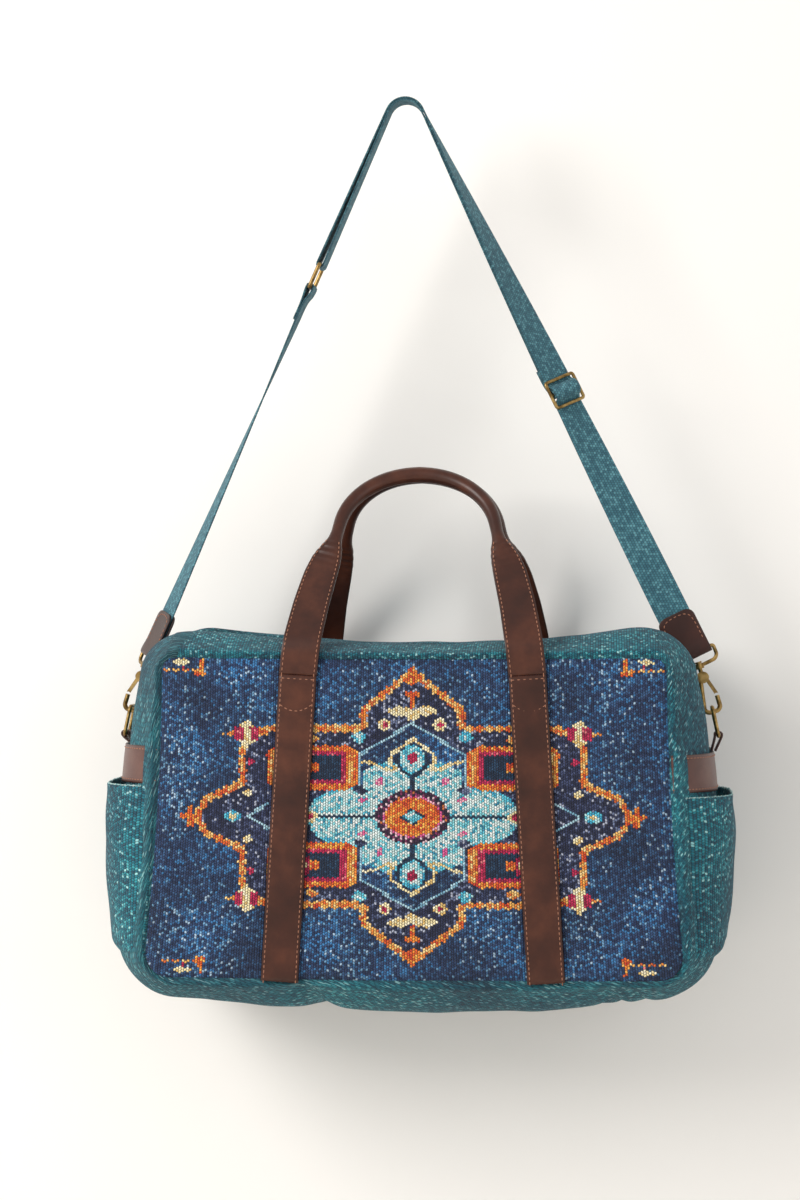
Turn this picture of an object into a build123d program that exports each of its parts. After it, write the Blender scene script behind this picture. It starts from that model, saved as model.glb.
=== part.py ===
from build123d import *
import math
import os

os.makedirs("parts", exist_ok=True)

# All sizes are in millimetres. +Z is up and -Y is the front.
# The origin is on the axis of the peg that the shoulder strap hangs from.

# Webbing and the seat on the peg
peg_radius = 16.0
webbing_width = 32.0
webbing_thickness = 1.6
strand_gap = 0.4
wrap_clear = 0.3  # between cloth or leather and the metal that it wraps

# Bag body
bag_shift = 14.0  # the bag's middle is this far right of the peg
seam_drop = 511.0  # from the peg's axis down to the panels' top seam
panel_height = 297.0
panel_width_top = 466.0
panel_width_middle = 476.0
panel_width_bottom = 502.0
panel_corner_top = 14.0
panel_corner_bottom = 28.0
bag_depth = 230.0  # between the front and back seams
fabric = 2.6
end_bulge_top = 29.0
end_bulge_middle = 43.0
end_bulge_bottom = 28.0
mouth_rise_middle = 12.0
mouth_rise_end = 33.0
belly_drop_middle = 39.0
belly_drop_end = 17.0
seam_sag = 1.5
full_corner_top = 32.0
full_corner_bottom = 50.0
valley_depth = 6.0  # the ends draw in between the humps, where the strap passes
valley_corner = 118.0
valley_half = 20.0
valley_reach = 56.0
top_strip_depth = 22.0
bottom_strip_depth = 20.0

# Mouth and its zip
mouth_length = 372.0
mouth_width = 48.0
mouth_drop = 2.0  # the tape lies this far above the level of the top seam
tape_thickness = 1.2
tooth_pitch = 4.0
tooth_thickness = 2.4
tooth_reach = 1.6
tooth_root = 4.2
tooth_gap = 0.3
teeth_length = 288.0
stop_reach = 153.0
slider_length = 16.0
slider_width = 11.0
slider_plate = 1.4
slider_post = 1.2
pull_length = 34.0
pull_width = 8.0
pull_thickness = 1.6

# Leather
leather = 2.2
strap_leather = 3.2
strap_width = 35.0
strap_foot_spread = 122.5  # from the bag's middle to a panel strap, at the bottom seam
strap_head_spread = 105.5  # the same at the handle's stitch line
stitch_line_drop = 17.0  # from the top seam down to the handle's stitch line
panel_stand_off = 0.5  # the straps lie on the woven pattern
handle_gap = 0.3

# Carry handle, measured up the leather from its stitch line
handle_straight = 20.0
handle_bend_radius = 30.0
handle_lean = 33.0
handle_neck_height = 152.0
handle_neck_spread = 74.0
handle_arch_rise = 66.0
grip_radius = 7.4
neck_radius = 5.9

# End pockets and bands
pocket_puff = 20.0
pocket_drops = {-1: 121.0, 1: 130.0}  # from the top seam down to each pocket's mouth
pocket_bottom_drop = 277.0
pocket_hem = 3.0
band_drops = {-1: 83.0, 1: 90.0}
band_height = 35.0

# End rings, hooks and eyes
contact_spread = 278.0  # from the bag's middle to the bend of each hook
contact_drop = 565.0
ring_wire = 1.8
ring_height = 27.5
ring_half_width = 14.0
ring_corner = 4.5
ring_lean = 12.0
link_clear = 0.35
hook_wire = 2.2
hook_length = 45.0
hook_lean = 17.0
hook_half_width = 8.0
hook_corner = 5.0
hook_nose = 14.0
boss_height = 34.0
boss_width = 12.0
boss_thickness = 6.4
gate_thickness = 3.0
gate_width = 3.4
gate_pin = 1.0
gate_pin_clear = 0.1
post_radius = 2.0
post_clear = 0.1
post_head = 3.4
bead_radius = 4.4
bead_height = 5.0
eye_wire = 1.8
eye_height = 13.0
eye_taper = 1.0
eye_corner = 6.0
tab_length = 42.0
tab_width = 36.5
tab_leather = 2.0
tab_corner = 8.0
tab_turns = {-1: -62.0, 1: 0.0}
loop_width = 18.0
loop_leather = 2.0

# Strap ring and tri-glide slider
strap_ring_station = 172.0  # along the left leg, from the peg
strap_ring_wire = 1.9
strap_ring_half_height = 11.9
slider_station = 300.0  # along the right leg, from the peg
glide_wire = 1.6
glide_half_height = 13.0
glide_turn = 40.0
glide_stretch = 18.0
wire_side_clear = 0.6
wire_corner = 2.4

sides = ((-1, "left"), (1, "right"))
faces = ((-1, "front"), (1, "back"))
half_depth = bag_depth / 2
top_seam_z = -seam_drop
bottom_seam_z = top_seam_z - panel_height
face_y = half_depth + fabric
strap_y = face_y + panel_stand_off
stitch_z = top_seam_z - stitch_line_drop
tape_z = top_seam_z + mouth_drop
strand_offset = (webbing_thickness + strand_gap) / 2
mid_radius = peg_radius + webbing_thickness + strand_gap / 2


# Bag shell: closed outlines across the depth, lofted from front to back
def fullness(y):
    return 1 - (abs(y) / half_depth) ** 4


def valley(y):
    inside = (valley_reach - abs(y)) / (valley_reach - valley_half)
    return min(max(inside, 0.0), 1.0)


def outline_sizes(y, inset, puff):
    full = fullness(y)
    pull_in = valley_depth * valley(y)
    return {
        "top": panel_width_top / 2 + end_bulge_top * full - pull_in - inset + puff * full,
        "middle": panel_width_middle / 2 + end_bulge_middle * full - inset + puff * full,
        "bottom": panel_width_bottom / 2 + end_bulge_bottom * full - inset,
        "top_end": top_seam_z + mouth_rise_end * full - inset,
        "top_middle": top_seam_z - seam_sag + mouth_rise_middle * full - inset,
        "middle_z": top_seam_z - panel_height / 2,
        "bottom_end": bottom_seam_z - belly_drop_end * full + inset,
        "bottom_middle": bottom_seam_z - seam_sag - belly_drop_middle * full + inset,
    }


def bag_outline(y, inset=0.0, puff=0.0):
    s = outline_sizes(y, inset, puff)
    full = fullness(y)
    corner_top = panel_corner_top + (full_corner_top - panel_corner_top) * full
    corner_top += (valley_corner - full_corner_top) * valley(y)
    corner_bottom = panel_corner_bottom + (full_corner_bottom - panel_corner_bottom) * full
    with BuildSketch(Plane.XZ.offset(-y)) as outline:
        with BuildLine():
            left_top = (bag_shift - s["top"], s["top_end"])
            right_top = (bag_shift + s["top"], s["top_end"])
            left_bottom = (bag_shift - s["bottom"], s["bottom_end"])
            right_bottom = (bag_shift + s["bottom"], s["bottom_end"])
            ThreePointArc(left_top, (bag_shift, s["top_middle"]), right_top)
            ThreePointArc(right_top, (bag_shift + s["middle"], s["middle_z"]), right_bottom)
            ThreePointArc(right_bottom, (bag_shift, s["bottom_middle"]), left_bottom)
            ThreePointArc(left_bottom, (bag_shift - s["middle"], s["middle_z"]), left_top)
        make_face()
        corners = outline.vertices().group_by(Axis.Y)
        fillet(corners[0], corner_bottom - inset)
        fillet(outline.vertices().group_by(Axis.Y)[-1], corner_top - inset)
    return outline.sketch


def bag_form(inset=0.0, puff=0.0):
    stations = [0, valley_half, valley_reach, 0.68 * half_depth, 0.88 * half_depth, half_depth]
    ordered = [-y for y in reversed(stations[1:])] + stations
    sections = [bag_outline(y, inset, puff) for y in ordered]
    with BuildPart() as form:
        loft(sections=sections, ruled=True)
    return form.part


def end_surface_x(z, side):
    # where the end gusset's outer face is at mid depth, from its three-point arc
    s = outline_sizes(0.0, 0.0, 0.0)
    top = Vector(s["top"], s["top_end"])
    middle = Vector(s["middle"], s["middle_z"])
    bottom = Vector(s["bottom"], s["bottom_end"])
    with BuildLine() as arc:
        ThreePointArc(tuple(top)[:2], tuple(middle)[:2], tuple(bottom)[:2])
    centre = arc.edges()[0].arc_center
    radius = arc.edges()[0].radius
    return bag_shift + side * (centre.X + math.sqrt(radius**2 - (z - centre.Y) ** 2))


outer_form = bag_form()
inner_form = bag_form(inset=fabric)

with BuildPart() as shell:
    add(outer_form)
    add(inner_form, mode=Mode.SUBTRACT)

far = 400.0  # reaches past the bag from its middle
top_cut_z = top_seam_z - top_strip_depth
bottom_cut_z = bottom_seam_z + bottom_strip_depth
mouth_centre = (bag_shift, 0, tape_z + tape_thickness / 2)

# Gusset beside the mouth, in front of it and behind it
for face, face_name in faces:
    with BuildPart() as gusset_top:
        add(shell.part)
        split(bisect_by=Plane.XY.offset(top_cut_z), keep=Keep.TOP)
        split(bisect_by=Plane.XZ, keep=Keep.TOP if face < 0 else Keep.BOTTOM)
        with Locations((bag_shift, 0, top_seam_z)):
            Box(mouth_length, mouth_width, far, mode=Mode.SUBTRACT)
    gusset_top.part.label = f"gusset_top_{face_name}"
    export_step(gusset_top.part, f"parts/gusset_top_{face_name}.step")

# Gusset ends and bottom
for side, side_name in sides:
    with BuildPart() as gusset_end:
        add(shell.part)
        split(bisect_by=Plane.XY.offset(top_cut_z), keep=Keep.BOTTOM)
        split(bisect_by=Plane.XY.offset(bottom_cut_z), keep=Keep.TOP)
        split(bisect_by=Plane.YZ.offset(bag_shift), keep=Keep.TOP if side > 0 else Keep.BOTTOM)
    gusset_end.part.label = f"gusset_end_{side_name}"
    export_step(gusset_end.part, f"parts/gusset_end_{side_name}.step")

with BuildPart() as gusset_bottom:
    add(shell.part)
    split(bisect_by=Plane.XY.offset(bottom_cut_z), keep=Keep.BOTTOM)
gusset_bottom.part.label = "gusset_bottom"
export_step(gusset_bottom.part, "parts/gusset_bottom.step")

# Front and back panels close the shell
for face, face_name in faces:
    with BuildPart() as panel:
        add(bag_outline(face * half_depth))
        extrude(amount=fabric, dir=(0, face, 0))
    panel.part.label = f"panel_{face_name}"
    export_step(panel.part, f"parts/panel_{face_name}.step")

# Facing of the mouth: a standing wall from the zip tapes up to the rolled edges
with BuildPart() as mouth_facing:
    with BuildSketch(Plane.XY.offset(tape_z)):
        with Locations((bag_shift, 0)):
            Rectangle(mouth_length, mouth_width)
            Rectangle(mouth_length - 2 * fabric, mouth_width - 2 * fabric, mode=Mode.SUBTRACT)
    extrude(amount=far)
    add(outer_form, mode=Mode.INTERSECT)
mouth_facing.part.label = "mouth_facing"
export_step(mouth_facing.part, "parts/mouth_facing.step")

# Zip tapes and interlocking teeth
tape_half = mouth_width / 2 - fabric
tooth_width = tooth_pitch / 2 - tooth_gap
tooth_count = int(teeth_length / tooth_pitch)
for face, face_name in faces:
    with BuildPart() as zip_tape:
        with BuildSketch(Plane.XY.offset(tape_z)):
            with Locations((bag_shift, face * (tape_half + tooth_root) / 2)):
                Rectangle(mouth_length - 2 * fabric, tape_half - tooth_root)
        extrude(amount=tape_thickness)
    zip_tape.part.label = f"zip_tape_{face_name}"
    export_step(zip_tape.part, f"parts/zip_tape_{face_name}.step")

    tooth_depth = tooth_root + tooth_reach
    tooth_y = face * (tooth_root - tooth_reach) / 2
    tooth_shift = face * tooth_pitch / 4
    with BuildPart() as zip_teeth:
        with Locations((bag_shift + tooth_shift, tooth_y, mouth_centre[2])):
            with GridLocations(tooth_pitch, 0, tooth_count, 1):
                Box(tooth_width, tooth_depth, tooth_thickness)
    zip_teeth.part.label = f"zip_teeth_{face_name}"
    export_step(zip_teeth.part, f"parts/zip_teeth_{face_name}.step")

# Stops at both ends of the teeth
with BuildPart() as zip_stops:
    for end in (-1, 1):
        with Locations((bag_shift + end * stop_reach, 0, mouth_centre[2])):
            Box(2.2, 2 * tooth_root, tooth_thickness)
zip_stops.part.label = "zip_stops"
export_step(zip_stops.part, "parts/zip_stops.step")

# Slider: a plate above and a plate below the teeth, joined by its post past the last tooth
post_x = bag_shift - teeth_length / 2 - tooth_gap - slider_post
slider_x = post_x + slider_length / 2 - slider_post - 2.0
slider_rise = tooth_thickness / 2 + wrap_clear
bridge_radius = 1.1
bridge_rise = 4.2
bridge_half = 3.0
slider_top_z = mouth_centre[2] + slider_rise + slider_plate
with BuildPart() as zip_slider:
    for way in (-1, 1):
        with BuildSketch(Plane.XY.offset(mouth_centre[2] + way * slider_rise)):
            with Locations((slider_x, 0)):
                RectangleRounded(slider_length, slider_width, 3.0)
        extrude(amount=way * slider_plate)
    with BuildSketch(Plane.XY.offset(mouth_centre[2])):
        with Locations((post_x, 0)):
            Circle(slider_post)
    extrude(amount=slider_rise + slider_plate / 2, both=True)
    with BuildLine(Plane.XZ) as bridge_path:
        FilletPolyline(
            (slider_x - bridge_half, slider_top_z - slider_plate / 2),
            (slider_x - bridge_half, slider_top_z + bridge_rise),
            (slider_x + bridge_half, slider_top_z + bridge_rise),
            (slider_x + bridge_half, slider_top_z - slider_plate / 2),
            radius=2.0,
        )
    with BuildSketch(Plane(origin=bridge_path.line @ 0, z_dir=bridge_path.line % 0)):
        Circle(bridge_radius)
    sweep(path=bridge_path.line)
zip_slider.part.label = "zip_slider"
export_step(zip_slider.part, "parts/zip_slider.step")

# Pull: a tab hung on the bridge by its eye, lying along the teeth
pull_axis_rise = 1.7
pull_end = 1.0
pull_hole = 2.4
pull_z = slider_top_z + pull_axis_rise
with BuildPart() as zip_pull:
    with BuildSketch(Plane.XY.offset(pull_z - pull_thickness / 2)):
        with Locations((slider_x - pull_end + pull_length / 2, 0)):
            SlotOverall(pull_length, pull_width)
        with Locations((slider_x + pull_hole + 0.75, 0)):
            Circle(pull_hole, mode=Mode.SUBTRACT)
        with Locations((slider_x + pull_length - pull_width, 0)):
            Circle(1.6, mode=Mode.SUBTRACT)
    extrude(amount=pull_thickness)
zip_pull.part.label = "zip_pull"
export_step(zip_pull.part, "parts/zip_pull.step")

# Woven pattern of the front panel, as fields of colour round the medallion's centre
motif_thickness = 0.4
motif_z = top_seam_z - 148.0
motif_plane = Plane(origin=(bag_shift, -face_y, motif_z), x_dir=(1, 0, 0), z_dir=(0, -1, 0))
frame_quarter = ((0, 134), (34, 101), (45, 97), (43, 84), (128, 80), (156, 60), (156, 30), (188, 12), (203, 0))
frame_band = 6.5
square_centre = (91.0, 45.0)
square_size = (84.0, 42.0)
square_hole = (50.0, 18.0)
flower_centre = (156.0, 82.0)
flower_radius = 11.0


def mirrored_quarter(points):
    right = list(points)
    lower = [(x, -z) for x, z in reversed(right[:-1])]
    left = [(-x, z) for x, z in reversed((right + lower)[1:-1])]
    return right + lower + left


def square_frames(mode=Mode.ADD, hole=True):
    for x in (-square_centre[0], square_centre[0]):
        for z in (-square_centre[1], square_centre[1]):
            with Locations((x, z)):
                Rectangle(*square_size, mode=mode)
                if hole:
                    Rectangle(*square_hole, mode=Mode.SUBTRACT)


def petal_star(mode=Mode.ADD, grow=0.0):
    for turn in (0, 180):
        with Locations(Location((0, 0, 0), turn)):
            with Locations((56, 0)):
                Ellipse(42 + grow, 15 + grow, mode=mode)
    for turn in (-1, 1):
        for way in (-1, 1):
            with Locations(Location((way * 34, turn * 22, 0), way * turn * 32)):
                Ellipse(30 + grow, 15 + grow, mode=mode)
    with Locations((0, 44), (0, -44)):
        Ellipse(20 + grow, 17 + grow, mode=mode)


with BuildPart() as pattern_frame:
    with BuildSketch(motif_plane):
        with BuildLine():
            Polyline(*mirrored_quarter(frame_quarter), close=True)
        make_face()
        offset(amount=-frame_band, kind=Kind.INTERSECTION, mode=Mode.SUBTRACT)
        with Locations((-flower_centre[0], flower_centre[1]), flower_centre):
            Circle(flower_radius + 1, mode=Mode.SUBTRACT)
        with Locations((-flower_centre[0], -flower_centre[1]), (flower_centre[0], -flower_centre[1])):
            Circle(flower_radius + 1, mode=Mode.SUBTRACT)
        with Locations((-204, 0), (204, 0)):
            Rectangle(8, 26)
            Rectangle(22, 8)
    extrude(amount=motif_thickness)
pattern_frame.part.label = "pattern_frame"
export_step(pattern_frame.part, "parts/pattern_frame.step")

with BuildPart() as pattern_squares:
    with BuildSketch(motif_plane):
        square_frames()
        petal_star(mode=Mode.SUBTRACT, grow=1.0)
    extrude(amount=motif_thickness)
pattern_squares.part.label = "pattern_squares"
export_step(pattern_squares.part, "parts/pattern_squares.step")

with BuildPart() as pattern_star:
    with BuildSketch(motif_plane):
        petal_star()
        Ellipse(34, 25, mode=Mode.SUBTRACT)
    extrude(amount=motif_thickness)
pattern_star.part.label = "pattern_star"
export_step(pattern_star.part, "parts/pattern_star.step")

with BuildPart() as pattern_ring:
    with BuildSketch(motif_plane):
        Ellipse(34, 25)
        Ellipse(26, 18, mode=Mode.SUBTRACT)
    extrude(amount=motif_thickness)
pattern_ring.part.label = "pattern_ring"
export_step(pattern_ring.part, "parts/pattern_ring.step")

with BuildPart() as pattern_centre:
    with BuildSketch(motif_plane):
        Ellipse(26, 18)
        Ellipse(10, 6.5, mode=Mode.SUBTRACT)
    extrude(amount=motif_thickness)
pattern_centre.part.label = "pattern_centre"
export_step(pattern_centre.part, "parts/pattern_centre.step")

with BuildPart() as pattern_flowers:
    with BuildSketch(motif_plane):
        Ellipse(10, 6.5)
        for x in (-flower_centre[0], flower_centre[0]):
            for z in (-flower_centre[1], flower_centre[1]):
                with Locations((x, z)):
                    with PolarLocations(flower_radius - 4.5, 6):
                        Circle(4.5)
                    Circle(4.5)
        with Locations((0, 100), (0, -100)):
            Ellipse(23, 6)
    extrude(amount=motif_thickness)
pattern_flowers.part.label = "pattern_flowers"
export_step(pattern_flowers.part, "parts/pattern_flowers.step")

# Leather straps sewn down both panels, and the carry handles hinged on their stitch lines
strap_rise = stitch_z - bottom_seam_z
strap_slope = math.degrees(math.atan((strap_foot_spread - strap_head_spread) / strap_rise))
head_side = math.cos(math.radians(strap_slope)) * strap_width / 2
head_tilt = math.sin(math.radians(strap_slope)) * strap_width / 2
foot_side = strap_width / 2 / math.cos(math.radians(strap_slope))
head_z = strap_rise - handle_gap / 2
for face, face_name in faces:
    panel_plane = Plane(origin=(bag_shift, face * strap_y, bottom_seam_z), x_dir=(1, 0, 0), z_dir=(0, -1, 0))
    for side, side_name in sides:
        with BuildPart() as panel_strap:
            with BuildSketch(panel_plane):
                with BuildLine():
                    Polyline(
                        (side * (strap_foot_spread - foot_side), 0),
                        (side * (strap_foot_spread + foot_side), 0),
                        (side * (strap_head_spread + head_side), head_z + head_tilt),
                        (side * (strap_head_spread - head_side), head_z - head_tilt),
                        close=True,
                    )
                make_face()
            extrude(amount=-face * strap_leather)
        panel_strap.part.label = f"strap_{face_name}_{side_name}"
        export_step(panel_strap.part, f"parts/strap_{face_name}_{side_name}.step")


# A handle's centre line: u is sideways from the bag's middle, v runs up the leather
def handle_frame(face, u, v, turn):
    lean = math.radians(handle_lean)
    bend = handle_bend_radius * lean
    start_y = strap_y + strap_leather / 2
    if v <= handle_straight:
        angle, y, z = 0.0, start_y, v
    elif v <= handle_straight + bend:
        angle = (v - handle_straight) / handle_bend_radius
        y = start_y - handle_bend_radius * (1 - math.cos(angle))
        z = handle_straight + handle_bend_radius * math.sin(angle)
    else:
        angle = lean
        on = v - handle_straight - bend
        y = start_y - handle_bend_radius * (1 - math.cos(lean)) - on * math.sin(lean)
        z = handle_straight + handle_bend_radius * math.sin(lean) + on * math.cos(lean)
    up = Vector(0, -face * math.sin(angle), math.cos(angle))
    side = Vector(1, 0, 0)
    turned = math.radians(turn)
    along = up * math.cos(turned) - side * math.sin(turned)
    across = side * math.cos(turned) + up * math.sin(turned)
    origin = Vector(bag_shift + u, face * y, stitch_z + handle_gap / 2 + z)
    return Plane(origin=origin, x_dir=across, z_dir=along)


# Height, spread, turn, width and thickness of the leather at each station of a leg
leg_stations = (
    (0.0, strap_head_spread, strap_slope, strap_width, strap_leather),
    (handle_straight, strap_head_spread - 2.0, 5.0, strap_width, strap_leather),
    (handle_straight + 18.0, strap_head_spread - 4.5, 7.0, strap_width, strap_leather),
    (72.0, 95.5, 10.0, 33.5, strap_leather),
    (104.0, 88.5, 13.5, 30.0, 4.2),
    (130.0, 81.0, 15.0, 22.0, 7.5),
    (handle_neck_height, handle_neck_spread + 1.0, 8.0, 2 * neck_radius, 2 * neck_radius),
)
arch_angles = (15, 40, 65, 90)

for face, face_name in faces:
    sections = []
    for v, u, turn, width, thick in leg_stations:
        with BuildSketch(handle_frame(face, u, v, turn)) as section:
            RectangleRounded(width, thick, 0.49 * thick)
        sections.append(section.sketch)
    for angle in arch_angles:
        theta = math.radians(angle)
        u = handle_neck_spread * math.cos(theta)
        v = handle_neck_height + handle_arch_rise * math.sin(theta)
        tangent = math.degrees(math.atan2(handle_neck_spread * math.sin(theta), handle_arch_rise * math.cos(theta)))
        blend = math.sin(theta)
        radius = neck_radius + (grip_radius - neck_radius) * blend
        with BuildSketch(handle_frame(face, u, v, tangent)) as section:
            RectangleRounded(2 * radius, 2 * radius, 0.98 * radius)
        sections.append(section.sketch)
    with BuildPart() as handle:
        loft(sections=sections)
        mirror(about=Plane.YZ.offset(bag_shift))
    handle.part.label = f"handle_{face_name}"
    export_step(handle.part, f"parts/handle_{face_name}.step")

# End pockets: a puffed wall with an open mouth and a closed hem, and the leather bands above
pocket_inner = bag_form(puff=pocket_puff)
pocket_outer = bag_form(inset=-fabric, puff=pocket_puff)
band_outer = bag_form(inset=-leather)
pocket_bottom_z = top_seam_z - pocket_bottom_drop
for side, side_name in sides:
    half = Keep.TOP if side > 0 else Keep.BOTTOM
    with BuildPart() as end_pocket:
        add(pocket_outer)
        add(pocket_inner, mode=Mode.SUBTRACT)
        split(bisect_by=Plane.XY.offset(top_seam_z - pocket_drops[side]), keep=Keep.BOTTOM)
        split(bisect_by=Plane.XY.offset(pocket_bottom_z), keep=Keep.TOP)
        split(bisect_by=Plane.YZ.offset(bag_shift + side * panel_width_top / 4), keep=half)
    with BuildPart() as hem:
        add(pocket_outer)
        add(outer_form, mode=Mode.SUBTRACT)
        split(bisect_by=Plane.XY.offset(pocket_bottom_z), keep=Keep.BOTTOM)
        split(bisect_by=Plane.XY.offset(pocket_bottom_z - pocket_hem), keep=Keep.TOP)
        split(bisect_by=Plane.YZ.offset(bag_shift + side * panel_width_top / 4), keep=half)
    with BuildPart() as whole_pocket:
        add(end_pocket.part)
        add(hem.part)
    whole_pocket.part.label = f"end_pocket_{side_name}"
    export_step(whole_pocket.part, f"parts/end_pocket_{side_name}.step")

    band_top_z = top_seam_z - band_drops[side]
    with BuildPart() as end_band:
        add(band_outer)
        add(outer_form, mode=Mode.SUBTRACT)
        split(bisect_by=Plane.XY.offset(band_top_z), keep=Keep.BOTTOM)
        split(bisect_by=Plane.XY.offset(band_top_z - band_height), keep=Keep.TOP)
        split(bisect_by=Plane.YZ.offset(bag_shift + side * panel_width_top / 4), keep=half)
    end_band.part.label = f"end_band_{side_name}"
    export_step(end_band.part, f"parts/end_band_{side_name}.step")


# Frames of the hanging hardware
def contact(side):
    return Vector(bag_shift + side * contact_spread, 0, -contact_drop)


def leaning(side, degrees):
    angle = math.radians(degrees)
    return Vector(-side * math.sin(angle), 0, math.cos(angle))


def face_on(side, origin, up):
    # local x points outwards from the bag, local y along up
    return Plane(origin=origin, x_dir=Vector(side * up.Z, 0, side * -up.X), z_dir=(0, -side, 0))


def eye_point(side):
    return contact(side) + leaning(side, hook_lean) * hook_length


def leg_lean(side):
    eye = eye_point(side)
    reach = math.hypot(eye.X, eye.Z)
    straight = math.atan2(abs(eye.X), -eye.Z)
    return math.degrees(straight - math.asin(mid_radius / reach))


def leg_frame(side, turn):
    # up the leg, the webbing's width and its outward face, turned about the leg
    up = leaning(side, leg_lean(side))
    flat = Vector(up.Z, 0, -up.X)
    angle = math.radians(turn)
    width = flat * math.cos(angle) + Vector(0, 1, 0) * math.sin(angle)
    return up, width, width.cross(up)


def leg_start(side):
    up = leaning(side, leg_lean(side))
    return Vector(side * up.Z, 0, side * -up.X) * mid_radius


def section_plane(origin, up, width):
    return Plane(origin=origin, x_dir=width, z_dir=-up)


def leg_section(side, station, turn):
    up, width, out = leg_frame(side, turn)
    return section_plane(leg_start(side) - up * station, up, width)


def profile_plane(origin, up, width):
    # local x runs down the leg, local y out of the webbing's face
    return Plane(origin=origin, x_dir=-up, z_dir=-width)


def face_plane(origin, up, width, out):
    # local x across the webbing, local y up the leg
    return Plane(origin=origin, x_dir=width, z_dir=out)


def wire_loop(plane, half_width, half_height, corner, wire):
    with BuildPart() as loop:
        with BuildLine(plane) as path:
            FilletPolyline(
                (half_width, half_height),
                (half_width, -half_height),
                (-half_width, -half_height),
                (-half_width, half_height),
                radius=corner,
                close=True,
            )
        with BuildSketch(Plane(origin=path.line @ 0, z_dir=path.line % 0)):
            Circle(wire)
        sweep(path=path.line)
    return loop.part


# End rings and the leather loops that hold them
for side, side_name in sides:
    ring_up = leaning(side, ring_lean)
    bar_rise = hook_wire + link_clear + ring_wire
    ring_middle = contact(side) + ring_up * (bar_rise - ring_height / 2)
    ring_plane = Plane(origin=ring_middle, x_dir=(0, 1, 0), z_dir=Vector(0, 1, 0).cross(ring_up))
    with BuildPart() as end_ring:
        add(wire_loop(ring_plane, ring_half_width, ring_height / 2, ring_corner, ring_wire))
    end_ring.part.label = f"end_ring_{side_name}"
    export_step(end_ring.part, f"parts/end_ring_{side_name}.step")

    loop_centre = ring_middle - ring_up * (ring_height / 2)
    loop_radius = ring_wire + wrap_clear + loop_leather / 2
    band_top_z = top_seam_z - band_drops[side]
    near_x = abs(end_surface_x(band_top_z, side) - bag_shift) + loop_leather / 2 + 0.4
    loop_x = abs(loop_centre.X - bag_shift)
    loop_plane = Plane(origin=(bag_shift, 0, 0), x_dir=(side, 0, 0), z_dir=(0, -side, 0))
    with BuildPart() as ring_loop:
        with BuildSketch(loop_plane):
            with BuildLine() as loop_path:
                FilletPolyline(
                    (near_x, band_top_z - 1.5),
                    (loop_x - loop_radius, loop_centre.Z - 1.0),
                    (loop_x - loop_radius, loop_centre.Z + loop_radius),
                    (loop_x + loop_radius, loop_centre.Z + loop_radius),
                    (loop_x + loop_radius, loop_centre.Z - 1.0),
                    (near_x + 1.7 * loop_leather, band_top_z - 1.5),
                    radius=[1.5, 2.9, 2.9, 1.5],
                )
            trace(loop_path.line, loop_leather)
        extrude(amount=loop_width / 2, both=True)
        split(bisect_by=Plane.XY.offset(band_top_z), keep=Keep.TOP)
    ring_loop.part.label = f"ring_loop_{side_name}"
    export_step(ring_loop.part, f"parts/ring_loop_{side_name}.step")

# Snap hooks: wire bend, boss with a slot for the gate, and the swivel post
for side, side_name in sides:
    hook_up = leaning(side, hook_lean)
    hook_plane = face_on(side, contact(side), hook_up)
    gate_foot = (3.0, boss_height - 2.0)
    gate_tip = (hook_half_width, hook_nose + 2.0)
    with BuildPart() as hook_body:
        with BuildLine(hook_plane) as bend_path:
            FilletPolyline(
                (hook_half_width, hook_nose),
                (hook_half_width, 0),
                (-hook_half_width, 0),
                (-2.5, boss_height - 1.0),
                radius=[hook_corner, hook_corner],
            )
        with BuildSketch(Plane(origin=bend_path.line @ 0, z_dir=bend_path.line % 0)):
            Circle(hook_wire)
        sweep(path=bend_path.line)
        with BuildSketch(hook_plane):
            with Locations((0, boss_height)):
                Ellipse(boss_width / 2, 5.6)
        extrude(amount=boss_thickness / 2, both=True)
        with BuildSketch(hook_plane):
            with BuildLine():
                Polyline(
                    (gate_foot[0] - 3.4, boss_height + 1.4),
                    (boss_width, boss_height + 1.4),
                    (boss_width, boss_height - 9.0),
                    (gate_foot[0] - 3.4, boss_height - 9.0),
                    close=True,
                )
            make_face()
        extrude(amount=gate_thickness / 2 + wrap_clear, both=True, mode=Mode.SUBTRACT)
        with BuildSketch(hook_plane):
            with Locations(gate_foot):
                Circle(gate_pin)
        extrude(amount=boss_thickness / 2, both=True)
        with BuildSketch(Plane(origin=contact(side) + hook_up * (boss_height + 4.0), z_dir=hook_up)):
            Circle(post_radius)
        extrude(amount=hook_length - boss_height - 4.0 + bead_height / 2 + wrap_clear)
        head_z = hook_length + bead_height / 2 + wrap_clear
        with BuildSketch(Plane(origin=contact(side) + hook_up * head_z, z_dir=hook_up)):
            Circle(post_head)
        extrude(amount=1.6)
    hook_body.part.label = f"hook_body_{side_name}"
    export_step(hook_body.part, f"parts/hook_body_{side_name}.step")

    with BuildPart() as hook_gate:
        with BuildSketch(hook_plane):
            with BuildLine() as gate_line:
                Line(gate_foot, gate_tip)
            trace(gate_line.line, gate_width)
            with Locations(gate_foot):
                Circle(2.2)
            with Locations(gate_tip):
                Circle(gate_width / 2)
        extrude(amount=gate_thickness / 2, both=True)
        with BuildSketch(hook_plane):
            with Locations((hook_half_width, hook_nose)):
                Circle(hook_wire + wrap_clear)
            with Locations(gate_foot):
                Circle(gate_pin + gate_pin_clear)
        extrude(amount=gate_thickness, both=True, mode=Mode.SUBTRACT)
    hook_gate.part.label = f"hook_gate_{side_name}"
    export_step(hook_gate.part, f"parts/hook_gate_{side_name}.step")

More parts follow.
